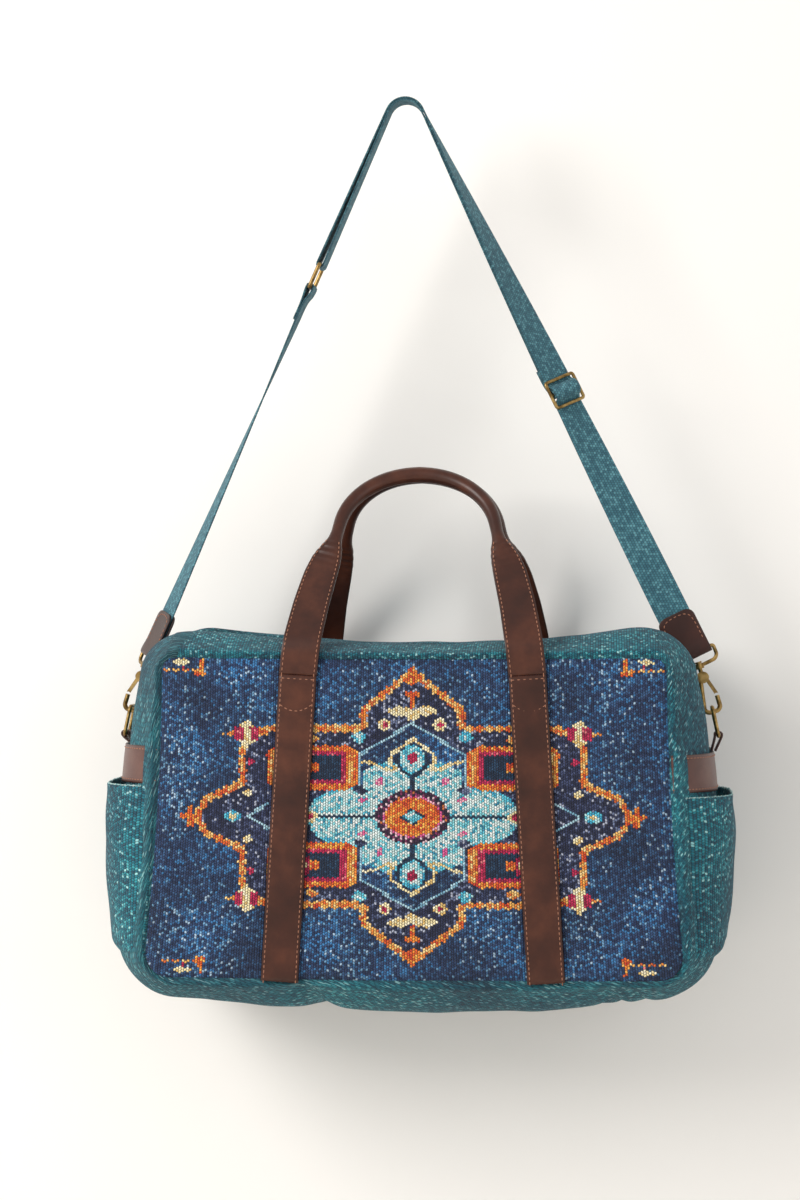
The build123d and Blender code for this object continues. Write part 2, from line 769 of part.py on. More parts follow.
# Swivel eyes: a wire loop just wider than the tab that holds it, with a bead that the hook's post turns in
eye_half_width = tab_width / 2 + eye_taper / 2 + wrap_clear + eye_wire
for side, side_name in sides:
    up, width, out = leg_frame(side, tab_turns[side])
    bar = eye_point(side) + up * eye_height
    hook_up = leaning(side, hook_lean)
    with BuildPart() as swivel_eye:
        with BuildLine(face_plane(bar, up, width, out)) as eye_path:
            FilletPolyline(
                (eye_half_width, 0),
                (eye_half_width - eye_taper, -eye_height),
                (eye_taper - eye_half_width, -eye_height),
                (-eye_half_width, 0),
                radius=[2.0, eye_corner, eye_corner, 2.0],
                close=True,
            )
        with BuildSketch(Plane(origin=eye_path.line @ 0, z_dir=eye_path.line % 0)):
            Circle(eye_wire)
        sweep(path=eye_path.line)
        with BuildSketch(Plane(origin=eye_point(side) - hook_up * (bead_height / 2), z_dir=hook_up)):
            Circle(bead_radius)
        extrude(amount=bead_height)
        with BuildSketch(Plane(origin=eye_point(side) - hook_up * bead_height, z_dir=hook_up)):
            Circle(post_radius + post_clear)
        extrude(amount=2 * bead_height, mode=Mode.SUBTRACT)
    swivel_eye.part.label = f"swivel_eye_{side_name}"
    export_step(swivel_eye.part, f"parts/swivel_eye_{side_name}.step")

# Leather tabs folded round the eyes' bars and sewn over the webbing's ends
for side, side_name in sides:
    up, width, out = leg_frame(side, tab_turns[side])
    bar = eye_point(side) + up * eye_height
    ply = webbing_thickness / 2 + tab_leather / 2 + 0.2
    fold = eye_wire + wrap_clear + tab_leather / 2
    with BuildPart() as strap_tab:
        with BuildSketch(profile_plane(bar, up, width)):
            with BuildLine() as tab_path:
                FilletPolyline(
                    (-tab_length, ply),
                    (-12, ply),
                    (-4, fold),
                    (fold, fold),
                    (fold, -fold),
                    (-4, -fold),
                    (-12, -ply),
                    (-tab_length, -ply),
                    radius=[8, 8, 0.98 * fold, 0.98 * fold, 8, 8],
                )
            trace(tab_path.line, tab_leather)
        extrude(amount=tab_width / 2, both=True)
        with BuildSketch(face_plane(bar, up, width, out)):
            with Locations((0, tab_length - tab_width / 2)):
                RectangleRounded(tab_width, tab_width, tab_corner)
            with Locations((0, 0)):
                Rectangle(tab_width, tab_width)
        extrude(amount=3 * fold, both=True, mode=Mode.INTERSECT)
    strap_tab.part.label = f"strap_tab_{side_name}"
    export_step(strap_tab.part, f"parts/strap_tab_{side_name}.step")


# Webbing
def twisted_sections(side, start, end, turn_start, turn_end, out_offset, steps):
    sections = []
    for step in range(steps + 1):
        part = step / steps
        turn = turn_start + (turn_end - turn_start) * part
        with BuildSketch(leg_section(side, start + (end - start) * part, turn)) as section:
            with Locations((0, out_offset)):
                Rectangle(webbing_width, webbing_thickness)
        sections.append(section.sketch)
    return sections


def tangent_normal(centre, reach):
    # unit normal of the line that passes the peg's axis at one distance and this centre at the other
    distance = centre.length
    slope = math.asin(reach / distance)
    away = centre / distance
    left = Vector(away.Z, 0, -away.X)
    return left * math.cos(slope) + away * math.sin(slope)


leg_length = {side: (leg_start(side) - eye_point(side)).length for side, name in sides}
tab_start = {side: leg_length[side] - eye_height - tab_length for side, name in sides}
tab_tail = tab_length - 14.0
ring_loop_radius = strap_ring_wire + wrap_clear + webbing_thickness / 2
left_up, left_width, left_out = leg_frame(-1, -90.0)
ring_centre = leg_start(-1) - left_up * strap_ring_station
upper_bar = ring_centre + left_up * strap_ring_half_height
lower_bar = ring_centre - left_up * strap_ring_half_height

outer_radius = mid_radius + strand_offset
inner_radius = mid_radius - strand_offset
outer_normal = tangent_normal(upper_bar, outer_radius - ring_loop_radius)
inner_normal = tangent_normal(upper_bar, inner_radius + ring_loop_radius)
right_start = leg_start(1) / mid_radius
glide_up, glide_width, glide_out = leg_frame(1, glide_turn)
glide_centre = leg_start(1) - glide_up * slider_station
glide_rise = strand_offset + webbing_thickness / 2 + wrap_clear + glide_wire
over_bar = glide_rise + glide_wire + wrap_clear + webbing_thickness / 2
over_loop = over_bar + webbing_thickness + wrap_clear
behind_bar = glide_rise - glide_wire - wrap_clear - webbing_thickness / 2
sewn_end = 27.0
sewn_offset = -strand_offset - webbing_thickness - wrap_clear


def flat_point(vector):
    return (vector.X, vector.Z)


with BuildPart() as webbing_long:
    # doubled over the peg and round the strap ring's upper bar
    with BuildSketch(Plane.XZ):
        with BuildLine() as seat_path:
            top = Vector(0, 0, 1)
            a = flat_point(right_start * outer_radius)
            b = flat_point(outer_normal * outer_radius)
            c = flat_point(upper_bar + outer_normal * ring_loop_radius)
            d = flat_point(upper_bar - inner_normal * ring_loop_radius)
            e = flat_point(inner_normal * inner_radius)
            f = flat_point(right_start * inner_radius)
            ThreePointArc(a, flat_point(top * outer_radius), b)
            Line(b, c)
            ThreePointArc(c, flat_point(upper_bar - left_up * ring_loop_radius), d)
            Line(d, e)
            ThreePointArc(e, flat_point(top * inner_radius), f)
        trace(seat_path.line, webbing_thickness)
    extrude(amount=webbing_width / 2, both=True)
    # both strands turn together down to the slider
    glide_start = slider_station - glide_stretch
    for offset_out in (strand_offset, -strand_offset):
        loft(sections=twisted_sections(1, 0, glide_start, 90, glide_turn, offset_out, 4))
    # the outer strand rises over the slider's middle bar
    with BuildSketch(profile_plane(glide_centre, glide_up, glide_width)):
        with BuildLine() as over_path:
            FilletPolyline(
                (-glide_stretch, strand_offset),
                (-9.5, strand_offset),
                (-4.6, over_loop),
                (4.6, over_loop),
                (10.0, 0),
                (glide_stretch, 0),
                radius=2.4,
            )
        trace(over_path.line, webbing_thickness)
        # the inner strand is folded round that bar and sewn to itself
        with BuildLine() as fold_path:
            FilletPolyline(
                (-glide_stretch, -strand_offset),
                (-8.0, -strand_offset),
                (-3.0, over_bar),
                (2.7, over_bar),
                (2.7, behind_bar),
                (-1.0, behind_bar),
                (-8.5, sewn_offset),
                (-sewn_end, sewn_offset),
                radius=[2.4, 2.4, 2.4, 2.4, 2.4, 2.4],
            )
        trace(fold_path.line, webbing_thickness)
    extrude(amount=webbing_width / 2, both=True)
    # single down to the right tab
    glide_finish = slider_station + glide_stretch
    loft(sections=twisted_sections(1, glide_finish, tab_start[1], glide_turn, tab_turns[1], 0, 3))
    with BuildSketch(leg_section(1, tab_start[1], tab_turns[1])):
        Rectangle(webbing_width, webbing_thickness)
    extrude(amount=tab_tail)
webbing_long.part.label = "webbing_long"
export_step(webbing_long.part, "parts/webbing_long.step")

with BuildPart() as webbing_short:
    with BuildSketch(profile_plane(lower_bar, left_up, left_width)):
        with BuildLine() as short_path:
            FilletPolyline(
                (34, webbing_thickness + wrap_clear),
                (14, webbing_thickness + wrap_clear),
                (4, ring_loop_radius),
                (-ring_loop_radius, ring_loop_radius),
                (-ring_loop_radius, -ring_loop_radius),
                (4, -ring_loop_radius),
                (14, 0),
                (34, 0),
                radius=[8, 8, 2.9, 2.9, 8, 8],
            )
        trace(short_path.line, webbing_thickness)
    extrude(amount=webbing_width / 2, both=True)
    short_start = strap_ring_station + strap_ring_half_height + 34
    loft(sections=twisted_sections(-1, short_start, tab_start[-1], -90, tab_turns[-1], 0, 3))
    with BuildSketch(leg_section(-1, tab_start[-1], tab_turns[-1])):
        Rectangle(webbing_width, webbing_thickness)
    extrude(amount=tab_tail)
webbing_short.part.label = "webbing_short"
export_step(webbing_short.part, "parts/webbing_short.step")

# Strap ring, and the tri-glide slider with its middle bar
with BuildPart() as strap_ring:
    ring_side = webbing_width / 2 + wire_side_clear + strap_ring_wire
    strap_ring_plane = face_plane(ring_centre, left_up, left_width, left_out)
    add(wire_loop(strap_ring_plane, ring_side, strap_ring_half_height, wire_corner, strap_ring_wire))
strap_ring.part.label = "strap_ring"
export_step(strap_ring.part, "parts/strap_ring.step")

with BuildPart() as strap_slider:
    glide_side = webbing_width / 2 + wire_side_clear + glide_wire
    glide_plane = face_plane(glide_centre + glide_out * glide_rise, glide_up, glide_width, glide_out)
    add(wire_loop(glide_plane, glide_side, glide_half_height, wire_corner, glide_wire))
    with BuildSketch(Plane(origin=glide_plane.origin, z_dir=glide_width)):
        Circle(glide_wire)
    extrude(amount=glide_side, both=True)
strap_slider.part.label = "strap_slider"
export_step(strap_slider.part, "parts/strap_slider.step")
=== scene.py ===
import math

import bmesh
import bpy
import numpy as np
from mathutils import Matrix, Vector, noise


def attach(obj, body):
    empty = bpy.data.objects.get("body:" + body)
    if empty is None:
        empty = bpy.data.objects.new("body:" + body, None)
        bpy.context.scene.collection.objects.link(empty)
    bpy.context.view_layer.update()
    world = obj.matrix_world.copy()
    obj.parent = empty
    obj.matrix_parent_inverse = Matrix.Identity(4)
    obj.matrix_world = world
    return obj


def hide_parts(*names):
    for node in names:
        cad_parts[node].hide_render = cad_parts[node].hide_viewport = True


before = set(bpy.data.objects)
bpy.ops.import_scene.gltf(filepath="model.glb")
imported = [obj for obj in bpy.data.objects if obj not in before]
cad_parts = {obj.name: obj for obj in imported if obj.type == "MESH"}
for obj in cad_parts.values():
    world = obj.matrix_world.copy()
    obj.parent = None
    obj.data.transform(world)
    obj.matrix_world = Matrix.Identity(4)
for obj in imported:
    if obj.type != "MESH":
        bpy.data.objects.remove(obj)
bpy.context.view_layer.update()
collection = bpy.context.scene.collection
print("stage: frame loaded,", len(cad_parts), "nodes")

# Sizes are in millimetres here, and metres in the meshes
mm = 0.001
faceNames = ((-1, "front"), (1, "back"))
sideNames = ((-1, "left"), (1, "right"))

# Small helpers for materials


class Wire:  # a socket that sums and products can be written with
    def __init__(self, shader, socket):
        self.shader = shader
        self.socket = socket

    def maths(self, operation, *values):
        return self.shader.make("ShaderNodeMath", {"operation": operation}, dict(enumerate(values)))

    def __add__(self, other):
        return self.maths("ADD", self, other)

    def __radd__(self, other):
        return self.maths("ADD", other, self)

    def __sub__(self, other):
        return self.maths("SUBTRACT", self, other)

    def __rsub__(self, other):
        return self.maths("SUBTRACT", other, self)

    def __mul__(self, other):
        return self.maths("MULTIPLY", self, other)

    def __rmul__(self, other):
        return self.maths("MULTIPLY", other, self)

    def __pow__(self, other):
        return self.maths("POWER", self, other)

    def __rpow__(self, other):
        return self.maths("POWER", other, self)

    def __mod__(self, other):
        return self.maths("FLOORED_MODULO", self, other)

    def __rmod__(self, other):
        return self.maths("FLOORED_MODULO", other, self)

    def floor(self):
        return self.maths("FLOOR", self)

    def size(self):
        return self.maths("ABSOLUTE", self)

    def atLeast(self, other):
        return self.maths("MAXIMUM", self, other)

    def atMost(self, other):
        return self.maths("MINIMUM", self, other)


class Shader:
    def __init__(self, name):
        self.material = bpy.data.materials.new(name)
        self.material.use_nodes = True
        self.tree = self.material.node_tree
        self.tree.nodes.clear()

    def make(self, kind, settings=None, sockets=None, output=0):
        node = self.tree.nodes.new(kind)
        for key, value in (settings or {}).items():
            if key == "stops":
                ramp = node.color_ramp
                while len(ramp.elements) < len(value):
                    ramp.elements.new(1.0)
                for element, (place, colour) in zip(ramp.elements, value):
                    element.position = place
                    element.color = (*colour, 1.0)
            else:
                setattr(node, key, value)
        for key, value in (sockets or {}).items():
            if isinstance(value, Wire):
                self.tree.links.new(value.socket, node.inputs[key])
            else:
                node.inputs[key].default_value = value
        return Wire(self, node.outputs[output]) if node.outputs else None

    def ramp(self, stops, factor):
        return self.make("ShaderNodeValToRGB", {"stops": stops}, {0: factor})

    def blendColours(self, factor, first, second, how="MIX"):
        settings = {"data_type": "RGBA", "blend_type": how}
        return self.make("ShaderNodeMix", settings, {0: factor, 6: first, 7: second}, 2)

    def shaded(self, colour, level):
        grey = self.make("ShaderNodeCombineColor", None, {0: level, 1: level, 2: level})
        return self.blendColours(1.0, colour, grey, "MULTIPLY")

    def place(self):
        return self.make("ShaderNodeTexCoord", output="Object")

    def ownMap(self):  # the two coordinates of the piece's own map
        uv = self.make("ShaderNodeUVMap", {"uv_map": "weave"})
        return [self.make("ShaderNodeSeparateXYZ", None, {0: uv}, k) for k in (0, 1)]

    def chance(self, column, row):  # one random value to each cell
        cell = self.make("ShaderNodeCombineXYZ", None, {0: column, 1: row})
        return self.make("ShaderNodeTexWhiteNoise", {"noise_dimensions": "2D"}, {"Vector": cell})

    def cloudy(self, scale, detail=2.0, rough=0.5):
        values = {"Vector": self.place(), "Scale": scale, "Detail": detail, "Roughness": rough}
        return self.make("ShaderNodeTexNoise", None, values)

    def finish(self, colour, roughness, height=None, bump=None, **fixed):
        values = {"Base Color": colour, "Roughness": roughness}
        if height is not None:
            strength, distance = bump
            relief = {"Height": height, "Strength": strength, "Distance": distance}
            values["Normal"] = self.make("ShaderNodeBump", None, relief)
        values.update({key.replace("_", " "): value for key, value in fixed.items()})
        surface = self.make("ShaderNodeBsdfPrincipled", None, values)
        self.make("ShaderNodeOutputMaterial", None, {"Surface": surface})
        return self.material


def linear(red, green, blue):
    parts = [c / 255 for c in (red, green, blue)]
    return tuple(c / 12.92 if c <= 0.04045 else ((c + 0.055) / 1.055) ** 2.4 for c in parts)


def solid(red, green, blue):
    return (*linear(red, green, blue), 1.0)


# Materials

weaveLook = {
    "pitch": 2.4,  # one knot of the rug cloth
    "slant": 0.45,  # the knots lean left and right by turns
    "fall": (4.0, 3.4),  # how steeply a knot falls off, across and along
    "dome": 0.75,
    "gapShade": 0.16,  # painted shade: the share of light left in the gaps between the knots
    "fibre": 1500.0,
    "patches": 9.0,
    "bump": (0.9, 0.0011),
}


def weaveMaterial(name, tones=None, patch=None, attribute=None):
    s = Shader(name)
    x, y = s.ownMap()
    column = x.floor()
    odd = column % 2.0
    lifted = y + odd * 0.5  # every second column lies half a knot higher
    row = lifted.floor()
    across = x - column - 0.5
    along = lifted - row - 0.5 + across * weaveLook["slant"] * (odd * 2.0 - 1.0)
    fallAcross, fallAlong = weaveLook["fall"]
    knot = (1.0 - across * across * fallAcross) * (1.0 - along * along * fallAlong)
    height = knot.atLeast(0.0) ** weaveLook["dome"]
    chance = s.chance(column, row)
    if attribute:
        base = s.make("ShaderNodeAttribute", {"attribute_name": attribute})
    else:
        base = s.ramp(tones, chance)
        tint = s.ramp(patch, s.cloudy(weaveLook["patches"], 3.0))
        base = s.blendColours(1.0, base, tint, "MULTIPLY")
    fibre = s.cloudy(weaveLook["fibre"], 1.0)
    # the knots' height darkens the gaps between them: painted shade
    shade = (height * 1.3).atMost(1.0) * (0.82 + fibre * 0.5)
    gap = weaveLook["gapShade"]
    level = (shade * (1.0 - gap) + gap).atMost(1.15)
    colour = s.shaded(base, level)
    rough = 0.86 + chance * 0.1
    relief = height + fibre * 0.25
    return s.finish(colour, rough, relief, weaveLook["bump"], Sheen_Weight=0.06, Sheen_Roughness=0.5)


tealTones = [
    (0.00, linear(10, 62, 82)),
    (0.25, linear(14, 86, 106)),
    (0.55, linear(20, 104, 122)),
    (0.80, linear(36, 128, 144)),
    (0.93, linear(76, 158, 170)),
    (1.00, linear(150, 200, 206)),
]
tealPatch = [(0.32, (0.5, 0.62, 0.70)), (0.50, (1.0, 1.0, 1.0)), (0.68, (1.45, 1.45, 1.35))]
backTones = [
    (0.00, linear(18, 32, 62)),
    (0.35, linear(26, 52, 90)),
    (0.70, linear(36, 76, 118)),
    (0.94, linear(70, 122, 158)),
    (1.00, linear(166, 188, 208)),
]
tealWeave = weaveMaterial("tealRugWeave", tealTones, tealPatch)
navyWeave = weaveMaterial("navyRugWeave", backTones, tealPatch)
patternWeave = weaveMaterial("patternedRugWeave", attribute="knotColour")

leatherLook = {
    "chestnut": {"dark": (36, 15, 9), "mid": (62, 29, 17), "worn": (98, 52, 32), "matte": 1.0},
    "band": {"dark": (66, 42, 38), "mid": (92, 62, 56), "worn": (116, 84, 74), "matte": 1.25},
    "tab": {"dark": (32, 12, 8), "mid": (50, 21, 14), "worn": (74, 35, 24), "matte": 1.1},
    "edge": (30, 15, 12),
    "edgeFrom": 0.90,  # share of the half width where the dark edge begins
    "patches": 20.0,
    "creases": 160.0,
    "pebbles": 900.0,
    "pebbleDepth": 0.25,
    "bump": (0.22, 0.0006),
    "coat": (0.16, 0.2),
    "specular": 0.32,
}


def leatherMaterial(name, kind):
    look = leatherLook[kind]
    s = Shader(name)
    across = s.ownMap()[0]
    edge = ((across - 0.5).size() * 2.0 - leatherLook["edgeFrom"]).atLeast(0.0) * 9.0
    patches = s.cloudy(leatherLook["patches"], 5.0, 0.62)
    stops = [(0.22, linear(*look["dark"])), (0.50, linear(*look["mid"])), (0.84, linear(*look["worn"]))]
    hide = s.ramp(stops, patches)
    colour = s.blendColours((edge * 0.7).atMost(0.7), hide, solid(*leatherLook["edge"]))
    values = {"Vector": s.place(), "Scale": leatherLook["pebbles"]}
    cracks = s.make("ShaderNodeTexVoronoi", {"feature": "DISTANCE_TO_EDGE"}, values)
    pebble = cracks.atMost(leatherLook["pebbleDepth"])
    height = pebble * 0.8 + s.cloudy(leatherLook["creases"], 3.0, 0.65) * 0.5
    rough = 0.28 * look["matte"] + patches * 0.16 + (leatherLook["pebbleDepth"] - pebble) * 0.2
    coat, coatRoughness = leatherLook["coat"]
    fixed = {
        "Coat_Weight": coat,
        "Coat_Roughness": coatRoughness,
        "Specular_IOR_Level": leatherLook["specular"],
    }
    return s.finish(colour, rough, height, leatherLook["bump"], **fixed)


brownLeather = leatherMaterial("chestnutLeather", "chestnut")
bandLeather = leatherMaterial("matteLeather", "band")
tabLeather = leatherMaterial("tabLeather", "tab")


def threadMaterial():
    s = Shader("waxedThread")
    fibre = s.cloudy(700.0)
    colour = s.blendColours(fibre, solid(128, 80, 58), solid(184, 130, 102))
    return s.finish(colour, 0.62 + fibre * 0.2, fibre, (0.3, 0.0003))


threadBrown = threadMaterial()


def tuftMaterial():
    s = Shader("frayedTufts")
    fibre = s.cloudy(300.0)
    stops = [(0.3, linear(60, 130, 140)), (0.5, linear(150, 190, 190)), (0.7, linear(225, 232, 226))]
    return s.finish(s.ramp(stops, fibre), 0.9 + fibre * 0.05)


tuftPale = tuftMaterial()

webbingLook = {
    "ribs": 12.0,  # across the width
    "pitch": 2.5,
    "fall": 3.4,
    "tones": [(0.0, linear(44, 92, 108)), (0.6, linear(62, 114, 128)), (1.0, linear(92, 146, 158))],
    "bump": (0.7, 0.0006),
}


def webbingMaterial():
    s = Shader("cottonWebbing")
    x, y = s.ownMap()
    ribs = x * webbingLook["ribs"]
    column = ribs.floor()
    lifted = y * (1.0 / webbingLook["pitch"]) + (column % 2.0) * 0.5
    row = lifted.floor()
    across = ribs - column - 0.5
    along = lifted - row - 0.5
    fall = webbingLook["fall"]
    knot = ((1.0 - across * across * fall) * (1.0 - along * along * fall)).atLeast(0.0) ** 0.6
    chance = s.chance(column, row)
    # the knot's height darkens the gaps between knots and lifts their tops a little: painted shade and light
    colour = s.shaded(s.ramp(webbingLook["tones"], chance), (knot * 1.15 + 0.12).atMost(1.1))
    return s.finish(colour, 0.82 + chance * 0.1, knot, webbingLook["bump"], Sheen_Weight=0.06)


webbingCotton = webbingMaterial()


def brassMaterial():
    s = Shader("antiqueBrass")
    tarnish = s.cloudy(120.0, 4.0, 0.6)
    stops = [(0.28, linear(84, 66, 40)), (0.48, linear(150, 122, 74)), (0.70, linear(196, 166, 108))]
    colour = s.ramp(stops, tarnish)
    return s.finish(colour, 0.26 + tarnish * 0.22, s.cloudy(900.0), (0.08, 0.0003), Metallic=1.0)


antiqueBrass = brassMaterial()


def tapeMaterial():
    s = Shader("zipTape")
    values = {"Vector": s.place(), "Scale": 380.0}
    twill = s.make("ShaderNodeTexWave", {"wave_type": "BANDS", "bands_direction": "X"}, values)
    colour = s.blendColours(twill, solid(20, 44, 54), solid(34, 66, 76))
    return s.finish(colour, 0.8 + twill * 0.08, twill, (0.3, 0.0003))


tapeTwill = tapeMaterial()
print("stage: materials made")

# Mesh helpers


def makeObject(name, points, faces, material, uv=None, smooth=True):
    mesh = bpy.data.meshes.new(name)
    mesh.from_pydata((np.asarray(points, float) * mm).tolist(), [], faces)
    mesh.update()
    mesh.materials.append(material)
    if smooth:
        mesh.shade_smooth()
    if uv is not None:
        layer = mesh.uv_layers.new(name="weave")
        corners = np.zeros(len(mesh.loops), np.int32)
        mesh.loops.foreach_get("vertex_index", corners)
        layer.data.foreach_set("uv", np.asarray(uv, np.float32)[corners].ravel())
    obj = bpy.data.objects.new(name, mesh)
    collection.objects.link(obj)
    return obj


def applyModifier(obj, kind, **settings):
    modifier = obj.modifiers.new(kind.lower(), kind)
    for key, value in settings.items():
        setattr(modifier, key, value)
    depsgraph = bpy.context.evaluated_depsgraph_get()
    evaluated = obj.evaluated_get(depsgraph)
    mesh = bpy.data.meshes.new_from_object(evaluated, preserve_all_data_layers=True, depsgraph=depsgraph)
    obj.modifiers.clear()
    old = obj.data
    obj.data = mesh
    bpy.data.meshes.remove(old)
    mesh.name = obj.name


def unit(v):
    v = np.asarray(v, float)
    return v / np.maximum(np.linalg.norm(v, axis=-1, keepdims=True), 1e-12)


def chaikin(points, rounds=3):
    points = np.asarray(points, float)
    for _ in range(rounds):
        first = points[:-1] * 0.75 + points[1:] * 0.25
        second = points[:-1] * 0.25 + points[1:] * 0.75
        mixed = np.empty((2 * len(first), points.shape[1]))
        mixed[0::2], mixed[1::2] = first, second
        points = np.vstack([points[:1], mixed, points[-1:]])
    return points


def evenly(points, step, *others):
    points = np.asarray(points, float)
    lengths = np.concatenate([[0], np.cumsum(np.linalg.norm(np.diff(points, axis=0), axis=1))])
    keep = np.concatenate([[True], np.diff(lengths) > 1e-9])
    lengths, points = lengths[keep], points[keep]
    others = [np.asarray(o, float)[keep] for o in others]
    count = max(2, int(round(lengths[-1] / step)) + 1)
    at = np.linspace(0, lengths[-1], count)
    made = []
    for values in (points, *others):
        made.append(np.column_stack([np.interp(at, lengths, values[:, k]) for k in range(values.shape[1])]))
    return (made[0], at, *made[1:])


def ripple(points, scale, seed):
    return np.array([noise.noise(Vector((x * scale, y * scale, z * scale + seed))) for x, y, z in points])


def bell(distance, middle, width):
    return math.exp(-(((distance - middle) / width) ** 2))


# A flat strip swept along points: across gives its width's direction at each point
def ribbon(name, points, across, width, thick, material, step, edge, flats=9, crown=0.0):
    sizes = [np.broadcast_to(np.asarray(size, float), (len(points),)) for size in (width, thick)]
    points, along, across, sizes = evenly(points, step, across, np.column_stack(sizes))
    tangent = unit(np.gradient(points, axis=0))
    across = unit(across - (across * tangent).sum(1)[:, None] * tangent)
    normal = np.cross(across, tangent)
    spread = np.linspace(-1, 1, flats)
    ring = [(s, 1.0, 0.0) for s in spread]
    ring += [(1.0, math.sin(math.radians(a)), math.cos(math.radians(a))) for a in (60, 0, -60)]
    ring += [(s, -1.0, 0.0) for s in spread[::-1]]
    ring += [(-1.0, math.sin(math.radians(a)), -math.cos(math.radians(a))) for a in (-60, 0, 60)]
    ring = np.array(ring)
    count, sides = len(points), len(ring)
    made = np.empty((count, sides, 3))
    uv = np.empty((count, sides, 2))
    for k in range(count):
        w, t = sizes[k]
        corner = min(edge, t / 2)
        a = ring[:, 0] * (w / 2 - corner) + ring[:, 2] * corner
        n = ring[:, 1] * t / 2 + crown * ring[:, 1] * (1 - np.minimum(np.abs(a) / (w / 2), 1) ** 2)
        made[k] = points[k] + a[:, None] * across[k] + n[:, None] * normal[k]
        uv[k, :, 0] = a / w + 0.5
        uv[k, :, 1] = along[k]
    faces = []
    for k in range(count - 1):
        for j in range(sides):
            i = (j + 1) % sides
            faces.append((k * sides + j, (k + 1) * sides + j, (k + 1) * sides + i, k * sides + i))
    faces.append(tuple(range(sides)))
    faces.append(tuple((count - 1) * sides + j for j in reversed(range(sides))))
    return makeObject(name, made.reshape(-1, 3), faces, material, uv.reshape(-1, 2))


# Bag body

bag = {
    "shift": 14.0,
    "seamZ": -511.0,
    "panelHeight": 297.0,
    "halfTop": 233.0,
    "halfMiddle": 238.0,
    "halfBottom": 251.0,
    "cornerTop": (15.0, 48.0),  # at the seam and at mid depth
    "cornerBottom": (28.0, 50.0),
    "halfDepth": 115.0,
    "bulge": (19.0, 43.0, 28.0),  # of the ends at top, middle and bottom
    "rise": (33.0, 12.0),  # of the mouth's edge at its ends and in the middle
    "drop": (17.0, 39.0),  # of the bottom, in the same places
    "seamSag": 1.5,
    "valley": (6.0, 118.0, 56.0, 12.0),  # under the tabs: pull in, corner radius, reach, full depth
    "mouth": (186.0, 24.0),  # half length and half width
    "mouthDepth": 60.0,  # the outline this far under the seam's height counts as its top
    "cloth": 2.6,
}

edgeCounts = {"flat": 150, "corner": 18, "side": 84}
outlineParts = (
    ("top", -1, 1, "flat"),
    ("topRight", 0, 1, "corner"),
    ("right", 1, -1, "side"),
    ("bottomRight", 0, 1, "corner"),
    ("bottom", 1, -1, "flat"),
    ("bottomLeft", 0, 1, "corner"),
    ("left", -1, 1, "side"),
    ("topLeft", 0, 1, "corner"),
)
outlineRun = []
for part, first, last, length in outlineParts:
    outlineRun += [(part, t) for t in np.linspace(first, last, edgeCounts[length], endpoint=False)]


def depthSizes(y, puff=0.0, grow=0.0):
    ratio = min(abs(y) / bag["halfDepth"], 1.0)
    full = 1 - ratio**4
    pullIn, cornerRadius, reach, core = bag["valley"]
    near = min(max((reach - abs(y)) / (reach - core), 0.0), 1.0)
    near = near * near * (3 - 2 * near)
    sag = bag["seamSag"]
    sizes = {
        "top": bag["halfTop"] + (bag["bulge"][0] + puff) * full - pullIn * near + grow,
        "middle": bag["halfMiddle"] + (bag["bulge"][1] + puff) * full + grow,
        "bottom": bag["halfBottom"] + bag["bulge"][2] * full + grow,
        "topEnd": bag["seamZ"] + bag["rise"][0] * full + grow,
        "topMiddle": bag["seamZ"] - sag + bag["rise"][1] * full + grow,
        "bottomEnd": bag["seamZ"] - bag["panelHeight"] - bag["drop"][0] * full - grow,
        "bottomMiddle": bag["seamZ"] - bag["panelHeight"] - sag - bag["drop"][1] * full - grow,
    }
    low, high = bag["cornerTop"]
    sizes["cornerTop"] = low + (high - low) * full + (cornerRadius - high) * near
    low, high = bag["cornerBottom"]
    sizes["cornerBottom"] = low + (high - low) * full
    return sizes


def shapePoint(s, u, v):
    middle, top, bottom = s["middle"], s["top"], s["bottom"]
    half = middle + (top - bottom) / 2 * v + ((top + bottom) / 2 - middle) * v * v
    upper = s["topEnd"] + (s["topMiddle"] - s["topEnd"]) * (1 - u * u)
    lower = s["bottomEnd"] + (s["bottomMiddle"] - s["bottomEnd"]) * (1 - u * u)
    return bag["shift"] + u * half, lower + (upper - lower) * (v + 1) / 2


def outline(y, puff=0.0, grow=0.0):
    s = depthSizes(y, puff, grow)
    tall = (s["topEnd"] - s["bottomEnd"]) / 2
    tu, tv = s["cornerTop"] / s["top"], s["cornerTop"] / tall
    bu, bv = s["cornerBottom"] / s["bottom"], s["cornerBottom"] / tall
    made = []
    for part, t in outlineRun:
        a = t * math.pi / 2
        if part == "top":
            u, v = t * (1 - tu), 1.0
        elif part == "topRight":
            u, v = 1 - tu + tu * math.sin(a), 1 - tv + tv * math.cos(a)
        elif part == "right":
            u, v = 1.0, (t + 1) / 2 * (2 - tv - bv) - 1 + bv
        elif part == "bottomRight":
            u, v = 1 - bu + bu * math.cos(a), -1 + bv - bv * math.sin(a)
        elif part == "bottom":
            u, v = t * (1 - bu), -1.0
        elif part == "bottomLeft":
            u, v = -1 + bu - bu * math.sin(a), -1 + bv - bv * math.cos(a)
        elif part == "left":
            u, v = -1.0, (t + 1) / 2 * (2 - tv - bv) - 1 + bv
        else:
            u, v = -1 + tu - tu * math.cos(a), 1 - tv + tv * math.sin(a)
        made.append(shapePoint(s, u, v))
    return np.array(made)


def outlineNormals(points):
    tangent = unit(np.roll(points, -1, axis=0) - np.roll(points, 1, axis=0))
    return np.column_stack([-tangent[:, 1], tangent[:, 0]])


